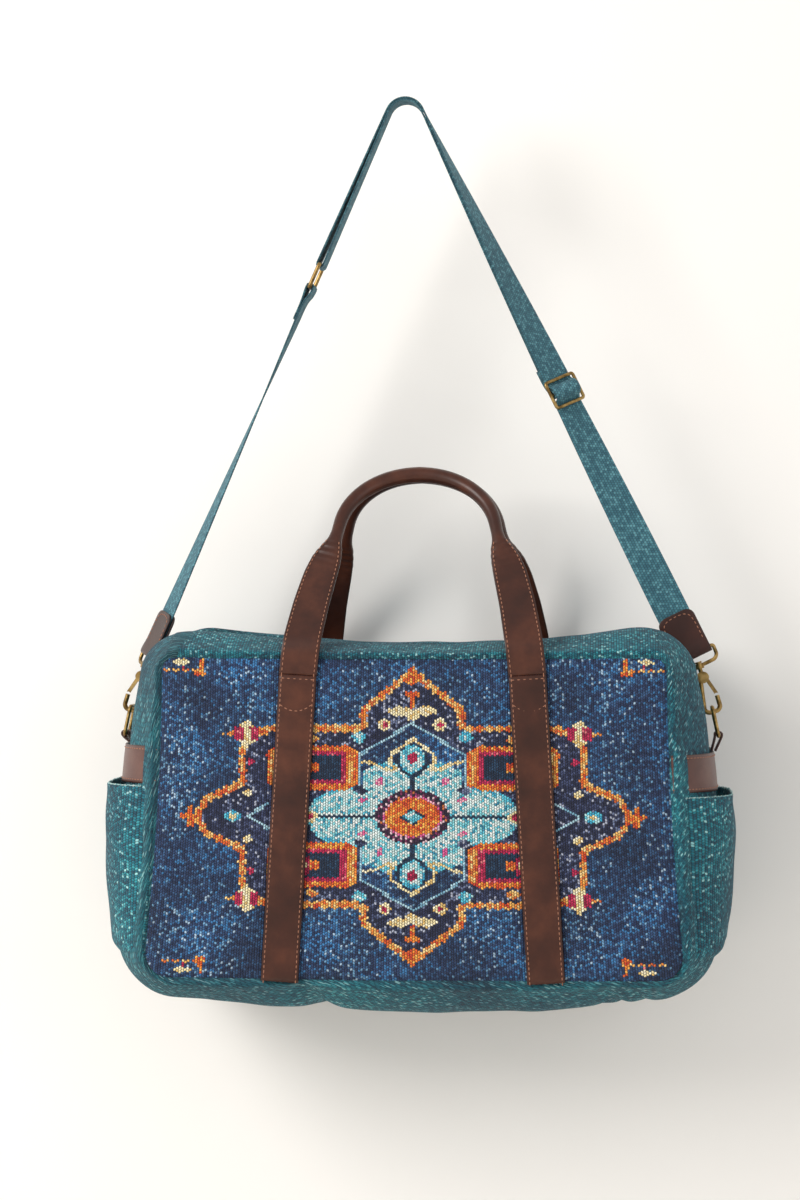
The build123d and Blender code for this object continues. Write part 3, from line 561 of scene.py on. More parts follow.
gussetLook = {
    "rows": 42,
    "crowding": 1.9,  # the rows lie closer together near the seam
    "roll": 6.6,  # the rolled edge stands out past the seam
    "topRoll": (0.72, 0.28),  # its share on the ends, and what the top adds
    "rollWave": (0.16, 41.0),
    "shoulder": (0.42, 9.0, 10.0),  # share of the roll that goes outwards, its place and its width
    "crest": (4.2, 4.6),  # where the roll stands furthest forward, and its width
    "valleyIn": (2.2, 2.2),  # how far the seam is drawn in, and over what width
    "valleyBack": (4.6, 2.0),
    "sag": 2.4,
    "pucker": (0.8, 5.0, 8.0),  # height, place and width
    "foldsFrom": 14.0,  # the folds are full this far from the seam
    "dents": ((-72, 15, 8.0), (-60, 40, 3.0), (188, 8, 3.0), (208, 9, 4.5), (232, 7, 3.0), (96, 30, 2.0)),
    "dentSlope": 0.3,
    "dentBelow": (-790, 30),
    "mapStart": 200,  # keeps the two halves' knots apart
    "weld": 0.00005,
}
foldLook = {"broad": (0.011, 1.1), "fine": (0.028, 0.55)}  # how close together, and how strong


def softShift(points, amount, seed):
    broadScale, broadShare = foldLook["broad"]
    fineScale, fineShare = foldLook["fine"]
    broad = ripple(points, broadScale, seed)
    folds = ripple(points, fineScale, seed + 7.3)
    return amount * (broad * broadShare + folds * fineShare)


def seamRipple(length, amount, seed):
    return amount * (np.sin(length / 5.3 + seed) * 0.5 + np.sin(length / 8.9 + 2.0 * seed) * 0.5)


def gussetRows(face):
    look = gussetLook
    rows = []
    nominal = outline(0.0)
    mouthX, mouthY = bag["mouth"]
    fromMiddle = np.abs(nominal[:, 0] - bag["shift"])
    inSlot = (nominal[:, 1] > bag["seamZ"] - bag["mouthDepth"]) & (fromMiddle < mouthX + 1.5)
    seam = bag["halfDepth"]
    topness = np.clip(outlineNormals(nominal)[:, 1], 0, 1)
    arc = np.concatenate([[0], np.cumsum(np.linalg.norm(np.diff(nominal, axis=0), axis=1))])
    wave, waveLength = look["rollWave"]
    plump = look["roll"] * (look["topRoll"][0] + look["topRoll"][1] * topness)
    plump = plump * (1 + wave * np.sin(arc / waveLength + face))
    share, shoulder, shoulderWidth = look["shoulder"]
    height, puckerAt, puckerWidth = look["pucker"]
    for k in range(look["rows"] + 1):
        inward = seam * (k / look["rows"]) ** look["crowding"]  # how far this row is from the seam
        flat = outline(seam - inward)
        normals = outlineNormals(flat)
        drawnIn = look["valleyIn"][0] * bell(inward, 0, look["valleyIn"][1])
        drawnBack = look["valleyBack"][0] * bell(inward, 0, look["valleyBack"][1])
        flat = flat + normals * (share * plump * bell(inward, shoulder, shoulderWidth) - drawnIn)[:, None]
        depth = seam - inward + (plump * bell(inward, *look["crest"]) - drawnBack)
        depth = np.where(inSlot, mouthY + depth * (seam - mouthY) / seam, depth)
        made = np.column_stack([flat[:, 0], face * depth, flat[:, 1]])
        pucker = seamRipple(arc, height, 1.7 + face) * bell(inward, puckerAt, puckerWidth)
        outward = np.column_stack([normals[:, 0], np.zeros(len(flat)), normals[:, 1]])
        rows.append((made + outward * pucker[:, None], outward, inward))
    return rows, inSlot


def bottomSag(points):
    # shallow dents and creases along the bag's bottom edge
    x = points[:, 0] - bag["shift"]
    level, fade = gussetLook["dentBelow"]
    low = np.clip((level - points[:, 2]) / fade, 0, 1)
    dent = np.zeros(len(x))
    for middle, half, depth in gussetLook["dents"]:
        dent += depth * np.exp(-(((x - middle - gussetLook["dentSlope"] * points[:, 1]) / half) ** 2))
    return low * dent


def buildGusset():
    points, faces, uvs = [], [], []
    around = len(outlineRun) + 1  # the first column again, to close the cloth's own map
    topMiddle = edgeCounts["flat"] // 2
    for face in (-1, 1):
        rows, inSlot = gussetRows(face)
        start = len(points)
        travelled = np.zeros(around)
        last = None
        for k, (made, outward, inward) in enumerate(rows):
            hold = min(inward / gussetLook["foldsFrom"], 1.0)
            shift = softShift(made, gussetLook["sag"], 3.1) * hold
            made = made + outward * shift[:, None]
            made[:, 2] += bottomSag(made) * hold
            if k == gussetLook["rows"]:
                made[~inSlot, 1] = 0.0
            made = np.vstack([made, made[:1]])
            run = np.concatenate([[0], np.cumsum(np.linalg.norm(np.diff(made, axis=0), axis=1))])
            travelled = travelled if last is None else travelled + np.linalg.norm(made - last, axis=1)
            last = made
            points.extend(made)
            ownMap = np.column_stack([run - run[topMiddle], face * (travelled - gussetLook["mapStart"])])
            uvs.extend(ownMap / weaveLook["pitch"])
        for k in range(gussetLook["rows"]):
            for j in range(around - 1):
                base = start + k * around
                quad = (base + j, base + around + j, base + around + j + 1, base + j + 1)
                faces.append(quad if face > 0 else quad[::-1])
    obj = makeObject("gusset", points, faces, tealWeave, uvs)
    weld = obj.modifiers.new("weld", "WELD")
    weld.merge_threshold = gussetLook["weld"]
    applyModifier(obj, "SOLIDIFY", thickness=bag["cloth"] * mm, offset=-1.0, use_rim=True)
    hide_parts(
        "gusset_top_front", "gusset_top_back", "gusset_end_left", "gusset_end_right", "gusset_bottom"
    )
    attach(obj, "bag")
    return obj


gusset = buildGusset()
print("stage: gusset,", len(gusset.data.polygons), "faces")

# Panels

panelLook = {
    "columns": 208,
    "rows": 248,
    "lift": 2.0,
    "puff": (2.2, 35.0),  # height, and how far from the edge it takes to rise
    "creases": (1.1, 25.0),
    "edgeDrop": (5.0, 4.5),  # into the seam's valley
    "strapPress": 9.0,  # how far from a strap the cloth takes to rise
}

strap = {
    "foot": 122.5,
    "head": 105.5,
    "width": 35.0,
    "thick": 3.2,
    "y": 118.1,
    "stitchZ": -528.0,
    "lowerEnd": -810.0,
    "crown": 0.35,
    "stitchInset": 2.6,
    "stitchProud": 0.12,
    "crossSpread": 13.5,  # half width of the rows sewn across the strap
    "crossProud": 0.25,
    "crossDrop": 3.5,
    "curveZ": -556.0,
    "curve": 5.0,
    "seamGap": 0.15,  # between a strap and its handle
    # pressed in where it is sewn at its foot and where it crosses the top seam: place, depth and reach
    "pressed": ((-809.0, 2.2, 8.0), (-515.0, 1.0, 6.0)),
    "wave": (0.35, 31.0),
}


def strapMiddle(z):
    low = bag["seamZ"] - bag["panelHeight"]
    return strap["foot"] + (strap["head"] - strap["foot"]) * ((z - low) / (strap["stitchZ"] - low))


def buildPanel(face, columns, rows):
    s = depthSizes(bag["halfDepth"])
    gridU, gridV = np.meshgrid(np.linspace(-1, 1, columns + 1), np.linspace(-1, 1, rows + 1))
    tall = (s["topEnd"] - s["bottomEnd"]) / 2
    # corners are drawn in to the seam's arcs
    for cornerV, radius, half in ((1, s["cornerTop"], s["top"]), (-1, s["cornerBottom"], s["bottom"])):
        cu, cv = 1 - radius / half, 1 - radius / tall
        du = (np.abs(gridU) - cu) / (1 - cu)
        dv = (gridV * cornerV - cv) / (1 - cv)
        outside = (du > 0) & (dv > 0)
        far = np.sqrt(np.maximum(du, 0) ** 2 + np.maximum(dv, 0) ** 2)
        pull = np.where(outside & (far > 1), 1 / np.maximum(far, 1e-9), 1.0)
        gridU = np.where(outside, np.sign(gridU) * (cu + du * pull * (1 - cu)), gridU)
        gridV = np.where(outside, cornerV * (cv + dv * pull * (1 - cv)), gridV)
    x, z = shapePoint(s, gridU, gridV)
    edge = np.minimum((1 - np.abs(gridU)) * s["top"], (1 - np.abs(gridV)) * tall)
    away = np.abs(np.abs(x - bag["shift"]) - strapMiddle(z)) - strap["width"] / 2
    free = 1 - np.exp(-np.maximum(away, 0) / panelLook["strapPress"])
    puff, puffReach = panelLook["puff"]
    crease, creaseReach = panelLook["creases"]
    drop, dropReach = panelLook["edgeDrop"]
    flat = np.column_stack([x.ravel(), np.full(x.size, face * 50.0), z.ravel()])
    creases = softShift(flat, crease, 11.0 + face).reshape(x.shape)
    depth = bag["halfDepth"] + panelLook["lift"] + puff * (1 - np.exp(-edge / puffReach)) * free
    depth = depth + creases * free * (1 - np.exp(-edge / creaseReach)) - drop * np.exp(-edge / dropReach)
    points = np.column_stack([x.ravel(), face * depth.ravel(), z.ravel()])
    faces = []
    wide = columns + 1
    for r in range(rows):
        for c in range(columns):
            k = r * wide + c
            quad = (k, k + 1, k + wide + 1, k + wide)
            faces.append(quad if face < 0 else quad[::-1])
    uv = np.column_stack([np.tile(np.arange(wide), rows + 1), np.repeat(np.arange(rows + 1) / 2, wide)])
    return points, faces, uv, x, z


# Yarn colours of each field of the medallion, and how often each comes
palettes = {
    "field": (
        ((38, 60, 98), 30),
        ((28, 46, 80), 24),
        ((50, 84, 126), 24),
        ((52, 108, 158), 13),
        ((98, 142, 178), 6),
        ((150, 176, 200), 3),
    ),
    "charcoal": (
        ((40, 48, 80), 34),
        ((30, 36, 64), 28),
        ((62, 72, 108), 18),
        ((104, 116, 150), 12),
        ((166, 172, 192), 8),
    ),
    "gold": (((240, 182, 98), 30), ((232, 138, 62), 26), ((250, 214, 146), 26), ((208, 98, 52), 18)),
    "orange": (((226, 96, 42), 38), ((240, 138, 52), 30), ((250, 182, 84), 18), ((198, 62, 40), 14)),
    "magenta": (((180, 30, 78), 48), ((208, 52, 96), 26), ((142, 24, 64), 18), ((232, 124, 132), 8)),
    "aqua": (
        ((206, 232, 232), 34),
        ((132, 212, 222), 26),
        ((234, 242, 240), 20),
        ((84, 182, 206), 14),
        ((52, 140, 172), 6),
    ),
    "cyan": (((92, 200, 224), 44), ((54, 160, 198), 26), ((186, 230, 234), 30)),
    "cream": (((244, 228, 178), 50), ((252, 242, 210), 26), ((226, 188, 116), 24)),
    "pale": (((170, 208, 224), 60), ((120, 170, 196), 40)),
    "navy": (((22, 42, 68), 60), ((32, 62, 92), 40)),
    "plum": (
        ((60, 30, 62), 34),
        ((38, 26, 52), 24),
        ((124, 46, 90), 16),
        ((222, 190, 200), 20),
        ((196, 110, 60), 6),
    ),
    "pink": (((220, 90, 150), 60), ((240, 170, 190), 40)),
}


def segmentDistance(x, z, first, second):
    ax, az = first
    bx, bz = second
    dx, dz = bx - ax, bz - az
    t = np.clip(((x - ax) * dx + (z - az) * dz) / max(dx * dx + dz * dz, 1e-9), 0, 1)
    return np.hypot(x - ax - t * dx, z - az - t * dz), t * math.hypot(dx, dz)


def pathDistance(x, z, points):
    best = np.full(x.shape, 1e9)
    run = np.zeros(x.shape)
    done = 0.0
    for first, second in zip(points[:-1], points[1:]):
        far, along = segmentDistance(x, z, first, second)
        nearer = far < best
        run = np.where(nearer, done + along, run)
        best = np.minimum(best, far)
        done += math.hypot(second[0] - first[0], second[1] - first[1])
    return best, run


def insidePolygon(x, z, points):
    inside = np.zeros(x.shape, bool)
    for (ax, az), (bx, bz) in zip(points, points[1:] + points[:1]):
        crosses = (az > z) != (bz > z)
        where = ax + (z - az) * (bx - ax) / (bz - az if bz != az else 1e-9)
        inside ^= crosses & (x < where)
    return inside


def oval(x, z, cx, cz, rx, rz, power=2.0):
    return np.abs((x - cx) / rx) ** power + np.abs((z - cz) / rz) ** power


medallionBorder = (
    (0, 133), (36, 105), (46, 97), (44, 85), (50, 81), (128, 81),
    (153, 76), (157, 62), (157, 30), (190, 16), (200, 0),
)


def medallion(x, z):
    # the name of each knot's colour, drawn in quarters, in millimetres from the medallion's middle
    a, b = np.abs(x), np.abs(z)
    zone = np.full(x.shape, "field", dtype=object)

    def ovals(*rows):
        for colour, cx, cz, rx, rz, power in rows:
            zone[oval(a, b, cx, cz, rx, rz, power) < 1] = colour

    def bars(*rows):
        for colour, cx, cz, halfWidth, halfHeight in rows:
            zone[(np.abs(a - cx) < halfWidth) & (np.abs(b - cz) < halfHeight)] = colour

    def drawLine(colour, half, points):
        zone[pathDistance(a, b, points)[0] < half] = colour

    zone[insidePolygon(a, b, [*medallionBorder, (0, 0)])] = "charcoal"
    far, run = pathDistance(a, b, medallionBorder)
    teeth = np.abs((run / 9.0) % 1.0 - 0.5) * 2
    zone[far < 2.0 + 2.4 * teeth] = "gold"
    zone[(far < 1.4 + 1.2 * teeth) & ((run / 27.0) % 1.0 < 0.4)] = "orange"
    # blue diamond over the star, between thin pale lines
    zone[(b - 86 + a * 0.62 < 0) & (a < 48) & (b > 24)] = "field"
    drawLine("pale", 1.3, [(0, 86), (48, 57), (48, 24)])
    # star of pale petals
    wavy = b < 47 - 3.5 * np.cos(a / 46 * 2 * math.pi)
    petals = (oval(a, b, 44, 0, 52, 27, 2.6) < 1) | ((a < 46) & wavy & (b < 50))
    core = (oval(a, b, 44, 0, 49, 24, 2.6) < 1) | ((a < 43.5) & (b < 44))
    zone[petals] = "aqua"
    zone[petals & ~core & ((a > 46) | (b > 40))] = "cyan"
    zone[(np.abs(a - 48) < 6) & (np.abs(b - 24) < 4.5 - np.abs(a - 48) * 0.5)] = "charcoal"
    zone[petals & (a < 2.2) & (b > 20)] = "navy"
    zone[petals & (b < 1.3) & (a > 30) & (a < 88)] = "navy"
    ovals(
        ("pink", 30, 32.5, 3.4, 4.0, 2),
        ("pink", 46, 15.5, 5.2, 2.0, 2),
        ("cream", 95, 0, 7.5, 5.5, 2),
        ("magenta", 95, 0, 4.5, 3.0, 2),
    )
    # middle rings
    ovals(
        ("plum", 0, 0, 34, 25, 2),
        ("pink", 0, 0, 27, 18.8, 2),
        ("orange", 0, 0, 25.5, 17.6, 2),
        ("navy", 0, 0, 11.5, 8.2, 1),
        ("aqua", 0, 0, 9.5, 6.2, 1),
    )
    # palmettes over and under the star
    drawLine("cream", 1.7, [(0, 72), (7, 66), (19, 58), (21, 50), (15, 43)])
    ovals(
        ("navy", 0, 52, 15.5, 15.5, 1.7),
        ("cyan", 0, 53, 12, 13.5, 1.8),
        ("aqua", 0, 52, 9.5, 10.5, 1.8),
        ("magenta", 0, 54, 4.6, 4.6, 2),
    )
    drawLine("cream", 1.5, [(16, 43), (26, 44), (36, 49), (46, 50.5)])
    # four squares
    squareX, squareZ = np.abs(a - 92.5), np.abs(b - 45)
    scallop = 1.6 * np.abs(np.sin(a / 5.1)) * np.abs(np.cos(b / 5.1))
    square = (squareX < 42.5 - scallop) & (squareZ < 21 - scallop)
    zone[square & (squareX / 42.5 + squareZ / 21 < 1.72)] = "orange"
    zone[(np.abs(squareX - 36) < 2.4) & (squareZ < 15)] = "gold"
    bars(
        ("magenta", 92.5, 45, 32, 15),
        ("navy", 92.5, 45, 26, 11.5),
        ("orange", 98.5, 45, 13, 4.2),
        ("magenta", 100.5, 45, 5, 8.5),
        ("cream", 100.5, 45, 2.4, 3),
    )
    ovals(("gold", 92.5, 71, 7, 4.2, 1.4))
    # corner flowers
    flowerX, flowerZ = np.abs(a - 153), np.abs(b - 76)
    zone[flowerX + flowerZ * 1.1 < 15] = "cream"
    zone[flowerX / 24 + flowerZ / 4.2 < 1] = "gold"
    zone[(np.abs(flowerX - 6.5) < 4.5) & (flowerZ < 6)] = "magenta"
    bars(("cream", 153, 76, 3.2, 9))
    # small flowers, crescent and leaves
    ovals(
        ("cream", 25.5, 84.5, 6.4, 6.0, 1.6),
        ("magenta", 25.5, 84.5, 2.8, 2.6, 2),
        ("cyan", 49, 73, 6.4, 5.6, 1.6),
        ("aqua", 49, 73, 2.4, 2.2, 2),
        ("cream", 12, 97, 12, 4.6, 1.4),
        ("cream", 0, 93, 7, 5, 1.5),
    )
    bars(("orange", 0, 106, 2.4, 7), ("orange", 0, 112, 7, 2.4))
    ovals(("orange", 0, 125, 8, 4.4, 1.3))
    bars(("orange", 0, 131.5, 2.6, 4.5))
    # side fields and finials
    ovals(("cyan", 166, 0, 9, 5.6, 1.6), ("cream", 166, 0, 3.2, 2.4, 2))
    drawLine("pale", 1.3, [(153, 0), (132, 12)])
    ovals(("cream", 152, 21, 5.4, 3.6, 1.3), ("magenta", 149, 50, 4, 3.4, 1.4))
    bars(("orange", 205, 0, 9, 2.6), ("orange", 205, 0, 2.6, 9.5))
    # pieces of the border in the panel's corners
    zone[(np.abs(b - 134) < 1.4) & (a > 192) & (a < 232) & ((a / 9) % 1 < 0.72)] = "gold"
    bars(("orange", 196, 137, 2.2, 8), ("orange", 196, 131, 5.5, 1.6))
    ovals(("cream", 214, 142, 8.5, 3.0, 1.4))
    bars(("magenta", 212, 137.5, 1.6, 1.6))
    return zone


knotLook = {
    "seed": 11,
    "middleZ": -658.6,  # the medallion's height
    "cloud": (0.018, 0.018, 4.0),  # closeness across and up, and which noise
    "worn": (0.03, 0.012, 9.0),
    # how the last three yarns of a dark field come and go: swing, least and most
    "pale": (3.0, 0.3, 2.4),
    "light": (3.0, 0.3, 3.0),
    "bright": (4.0, 0.2, 3.5),
    "fieldLevel": (1.06, 0.5, 0.75, 1.45),
    "yarn": (0.86, 1.12),
}


def knotNoise(places, name):
    acrossScale, upScale, which = knotLook[name]
    return np.array([noise.noise(Vector((x * acrossScale, z * upScale, which))) for x, z in places])


def swung(values, name):
    swing, least, most = knotLook[name]
    return np.clip(1 + swing * values, least, most)


def knotColours(x, z, columns, rows):
    random = np.random.default_rng(knotLook["seed"])
    middleX = (x[:-1, :-1] + x[1:, 1:]) / 2 - bag["shift"]
    middleZ = (z[:-1, :-1] + z[1:, 1:]) / 2 - knotLook["middleZ"]
    # every knot covers two faces of a column, and every second column starts half a knot higher
    knotRow = (np.arange(rows)[:, None] / 2 + 0.5 * (np.arange(columns)[None, :] % 2)).astype(int)
    key = knotRow * columns + np.arange(columns)[None, :]
    order = np.argsort(key, axis=None, kind="stable")
    keys, first = np.unique(key.ravel()[order], return_index=True)
    chosen = order[first]
    zones = medallion(middleX, middleZ).ravel()[chosen]
    places = np.column_stack([middleX.ravel()[chosen], middleZ.ravel()[chosen]])
    cloud, worn = knotNoise(places, "cloud"), knotNoise(places, "worn")
    picked = np.zeros((len(keys), 3))
    for name, tones in palettes.items():
        here = np.flatnonzero(zones == name)
        if not len(here):
            continue
        colours = np.array([linear(*c) for c, _ in tones])
        weights = np.array([w for _, w in tones], float)
        chances = np.tile(weights / weights.sum(), (len(here), 1))
        if name in ("field", "charcoal"):
            chances[:, -1] *= swung(worn[here], "pale")
            chances[:, -2] *= swung(worn[here], "light")
            chances[:, -3] *= swung(cloud[here], "bright")
        chances = np.cumsum(chances / chances.sum(1)[:, None], axis=1)
        draw = random.random(len(here))
        picked[here] = colours[(draw[:, None] > chances).sum(1).clip(0, len(tones) - 1)]
        if name == "field":
            level, swing, least, most = knotLook["fieldLevel"]
            picked[here] *= np.clip(level + swing * cloud[here], least, most)[:, None]
    picked *= random.uniform(*knotLook["yarn"], (len(keys), 1))
    return picked[np.searchsorted(keys, key.ravel())]


def finishPanel(name, face, coarse, material, nodes):
    columns, rows = panelLook["columns"] // coarse, panelLook["rows"] // coarse
    points, faces, uv, x, z = buildPanel(face, columns, rows)
    obj = makeObject(name, points, faces, material, uv * coarse)
    if material is patternWeave:
        colours = knotColours(x, z, columns, rows)
        layer = obj.data.color_attributes.new("knotColour", "FLOAT_COLOR", "CORNER")
        full = np.ones((len(colours) * 4, 4), np.float32)
        full[:, :3] = np.repeat(colours, 4, axis=0)
        layer.data.foreach_set("color", full.ravel())
    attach(obj, "bag")
    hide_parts(*nodes)


patternNodes = [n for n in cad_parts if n.startswith("pattern")]
finishPanel("frontPanel", -1, 1, patternWeave, ["panel_front", *patternNodes])
finishPanel("backPanel", 1, 2, navyWeave, ["panel_back"])
print("stage: panels")

# Leather straps and handles

stitchLook = {"spacing": 4.6, "length": 3.1, "radius": 0.5, "sway": 0.03}
tuftLook = {"spacing": 2.3, "length": 3.4, "radius": 0.55, "sway": 0.9}
stitchRuns = {}
tuftRuns = []


def addStitches(body, points):
    stitchRuns.setdefault(body, []).append(np.asarray(points, float))


def strapPoints(face, side):
    z = np.linspace(strap["lowerEnd"], strap["stitchZ"] - strap["seamGap"], 60)
    x = bag["shift"] + side * strapMiddle(z)
    dip = sum(depth * np.exp(-np.abs(z - place) / reach) for place, depth, reach in strap["pressed"])
    height, length = strap["wave"]
    wave = height * np.sin(z / length + side)
    y = face * (strap["y"] + strap["thick"] / 2 - dip * 0.5 + wave)
    return np.column_stack([x, y, z])


def buildStraps():
    half = strap["crossSpread"]
    spread = np.linspace(-half, half, 24)
    for face, faceName in faceNames:
        for side, sideName in sideNames:
            points = strapPoints(face, side)
            across = np.tile((-face * 1.0, 0, 0), (len(points), 1))
            name = "leather" + faceName.capitalize() + sideName.capitalize()
            width, thick = strap["width"], strap["thick"]
            obj = ribbon(name, points, across, width, thick, brownLeather, 4.0, 1.0, 11, strap["crown"])
            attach(obj, "bag")
            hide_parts(f"strap_{faceName}_{sideName}")
            out = face * (thick / 2 + strap["stitchProud"])
            for way in (-1, 1):
                addStitches("bag", points + np.array([way * (width / 2 - strap["stitchInset"]), out, 0]))
            depth = np.full(len(spread), face * (strap["y"] + thick + strap["crossProud"]))
            level = strap["stitchZ"] - strap["crossDrop"]
            x = bag["shift"] + side * strapMiddle(level) + spread
            addStitches("bag", np.column_stack([x, depth, level + side * spread * 0.06]))
            level = strap["curveZ"]
            x = bag["shift"] + side * strapMiddle(level) + spread
            curved = level - strap["curve"] * (1 - (spread / half) ** 2)
            addStitches("bag", np.column_stack([x, depth, curved]))


buildStraps()

handle = {
    "straight": 20.0,
    "bend": 30.0,
    "lean": 33.0,
    "neckHeight": 152.0,
    "neckSpread": 74.0,
    "arch": 66.0,
    "grip": 7.4,
    "neck": 5.9,
    "sides": 36,
    "crumple": (0.5, 0.95, 126, 14),  # height, closeness, place and width
    "wrinkle": (0.02, 0.8, 132, 12),
    "groove": (0.9, 0.16),  # the sewn edge along the underside of the grip
    "roundFrom": 2.6,  # a leg less square than this has the groove
    "stitchInset": 2.6,
    "stitchedRows": 52,
}
handleLegs = (
    # up the leather, spread, turn, width, thickness, squareness
    (0.0, 105.5, 3.5, 35.0, 3.2, 7.0),
    (20.0, 103.5, 5.0, 35.0, 3.2, 7.0),
    (38.0, 101.0, 7.0, 35.0, 3.2, 7.0),
    (72.0, 95.5, 10.0, 33.5, 3.3, 6.5),
    (104.0, 88.5, 14.5, 31.5, 4.2, 5.0),
    (122.0, 83.5, 17.0, 27.5, 6.4, 3.4),
    (134.0, 79.5, 15.0, 20.5, 9.8, 2.6),
    (143.0, 77.0, 11.0, 13.5, 11.4, 2.1),
    (152.0, 75.0, 8.0, 11.4, 11.6, 2.0),
)


def handlePoint(face, u, v):
    lean = math.radians(handle["lean"])
    bend = handle["bend"] * lean
    startY = strap["y"] + strap["thick"] / 2
    if v <= handle["straight"]:
        angle, y, z = 0.0, startY, v
    elif v <= handle["straight"] + bend:
        angle = (v - handle["straight"]) / handle["bend"]
        y = startY - handle["bend"] * (1 - math.cos(angle))
        z = handle["straight"] + handle["bend"] * math.sin(angle)
    else:
        angle = lean
        on = v - handle["straight"] - bend
        y = startY - handle["bend"] * (1 - math.cos(lean)) - on * math.sin(lean)
        z = handle["straight"] + handle["bend"] * math.sin(lean) + on * math.cos(lean)
    up = np.array([0, -face * math.sin(angle), math.cos(angle)])
    return np.array([bag["shift"] + u, face * y, strap["stitchZ"] + strap["seamGap"] + z]), up


def handleStations():
    rows = []
    for first, second in zip(handleLegs[:-1], handleLegs[1:]):
        for t in np.linspace(0, 1, 8, endpoint=False):
            rows.append([a + (b - a) * t for a, b in zip(first, second)])
    rows.append(list(handleLegs[-1]))
    spread, arch = handle["neckSpread"], handle["arch"]
    for degrees in np.linspace(4, 90, 22):
        t = math.radians(degrees)
        v = handle["neckHeight"] + arch * math.sin(t)
        turn = math.degrees(math.atan2(spread * math.sin(t), arch * math.cos(t)))
        radius = handle["neck"] + (handle["grip"] - handle["neck"]) * math.sin(t)
        rows.append([v, spread * math.cos(t), turn, 2 * radius, 2 * radius, 2.0])
    rows = np.array(rows)
    for _ in range(3):
        smooth = rows.copy()
        smooth[1:-1] = (rows[:-2] + 2 * rows[1:-1] + rows[2:]) / 4
        rows = smooth
    return rows


def superPoint(angle, squareness):
    power = 2 / squareness
    c, s = math.cos(angle), math.sin(angle)
    return math.copysign(abs(c) ** power, c), math.copysign(abs(s) ** power, s)


def buildHandle(face, faceName):
    half = handleStations()
    full = [(row, 1) for row in half] + [(row, -1) for row in half[-2::-1]]
    sides = handle["sides"]
    crumpleSize, crumplePitch, crumpleAt, crumpleWidth = handle["crumple"]
    wrinkleSize, wrinklePitch, wrinkleAt, wrinkleWidth = handle["wrinkle"]
    grooveDepth, grooveWidth = handle["groove"]
    points, uvs, middleLine = [], [], []
    run = 0.0
    last = None
    for row, side in full:
        v, u, turn, width, thick, square = row
        origin, up = handlePoint(face, side * u, v)
        across = np.array([side * 1.0, 0, 0])
        t = math.radians(turn)
        wide = across * math.cos(t) + up * math.sin(t)
        along = up * math.cos(t) - across * math.sin(t)
        deep = np.cross(wide, along) * side
        run += 0 if last is None else float(np.linalg.norm(origin - last))
        last = origin
        middleLine.append((origin, wide, -face * deep, width, thick))
        crumple = crumpleSize * math.sin(v * crumplePitch) * bell(v, crumpleAt, crumpleWidth)
        wrinkle = 1.0 + wrinkleSize * math.sin(v * wrinklePitch) * bell(v, wrinkleAt, wrinkleWidth)
        rounded = max(handle["roundFrom"] - square, 0.0)
        for j in range(sides):
            a = 2 * math.pi * j / sides
            ca, sa = superPoint(a, square)
            groove = grooveDepth * bell(a, math.pi, grooveWidth) * rounded
            outward = wide * ca * (width / 2 * wrinkle - groove)
            points.append(origin + outward + deep * (sa * thick / 2 + crumple * abs(sa)))
            uvs.append((0.5 + 0.5 * ca if square > 3 else 0.5 + 0.35 * ca, run))
    count = len(full)
    faces = []
    for k in range(count - 1):
        for j in range(sides):
            i = (j + 1) % sides
            faces.append((k * sides + j, k * sides + i, (k + 1) * sides + i, (k + 1) * sides + j))
    faces.append(tuple(reversed(range(sides))))
    faces.append(tuple((count - 1) * sides + j for j in range(sides)))
    obj = makeObject("handle" + faceName.capitalize(), points, faces, brownLeather, uvs)
    work = bmesh.new()
    work.from_mesh(obj.data)
    bmesh.ops.recalc_face_normals(work, faces=work.faces)
    work.to_mesh(obj.data)
    work.free()
    body = "handle_" + faceName
    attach(obj, body)
    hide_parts(body)
    rows = handle["stitchedRows"]
    for way in (-1, 1):
        for chosen in (middleLine[:rows], middleLine[-rows:]):
            line = []
            for origin, wide, deep, width, thick in chosen:
                reach = way * (width / 2 - handle["stitchInset"])
                line.append(origin + wide * reach + deep * (thick / 2 + 0.1))
            addStitches(body, line)


for face, faceName in faceNames:
    buildHandle(face, faceName)
print("stage: straps and handles")

# Shoulder strap

hang = {
    "seatRadius": 16.0,  # inside the fold that the bag hangs from
    "width": 32.0,
    "thick": 1.6,
    "gap": 0.4,
    "clear": 0.3,
    "contact": (278.0, 565.0),
    "hookLength": 45.0,
    "hookLean": 17.0,
    "eyeHeight": 13.0,
    "eyeWire": 1.8,
    "tabLength": 42.0,
    "tabWidth": 36.5,
    "tabLeather": 2.0,
    "tabCorner": 8.0,
    "tabTurns": {-1: -62.0, 1: 0.0},
    "ringStation": 172.0,
    "ringWire": 1.9,
    "ringHalf": 11.9,
    "slideStation": 300.0,
    "slideWire": 1.6,
    "slideTurn": 40.0,
    "slideStretch": 18.0,
    "tabTuck": 14,  # the webbing ends this far short of the tab's fold
    "foldOver": 34,  # the left leg's webbing, folded over the ring's lower bar
    "sewnEnd": (21.0, 24.5),  # two rows that close the webbing round the slider's bar
    "sewnHalf": 13.0,
}
strandOffset = (hang["thick"] + hang["gap"]) / 2
midRadius = hang["seatRadius"] + hang["thick"] + hang["gap"] / 2


def leaning(side, degrees):
    a = math.radians(degrees)
    return np.array([-side * math.sin(a), 0, math.cos(a)])


def contact(side):
    return np.array([bag["shift"] + side * hang["contact"][0], 0, -hang["contact"][1]])


def eyePoint(side):
    return contact(side) + leaning(side, hang["hookLean"]) * hang["hookLength"]


def legLean(side):
    eye = eyePoint(side)
    return math.degrees(math.atan2(abs(eye[0]), -eye[2]) - math.asin(midRadius / np.linalg.norm(eye)))


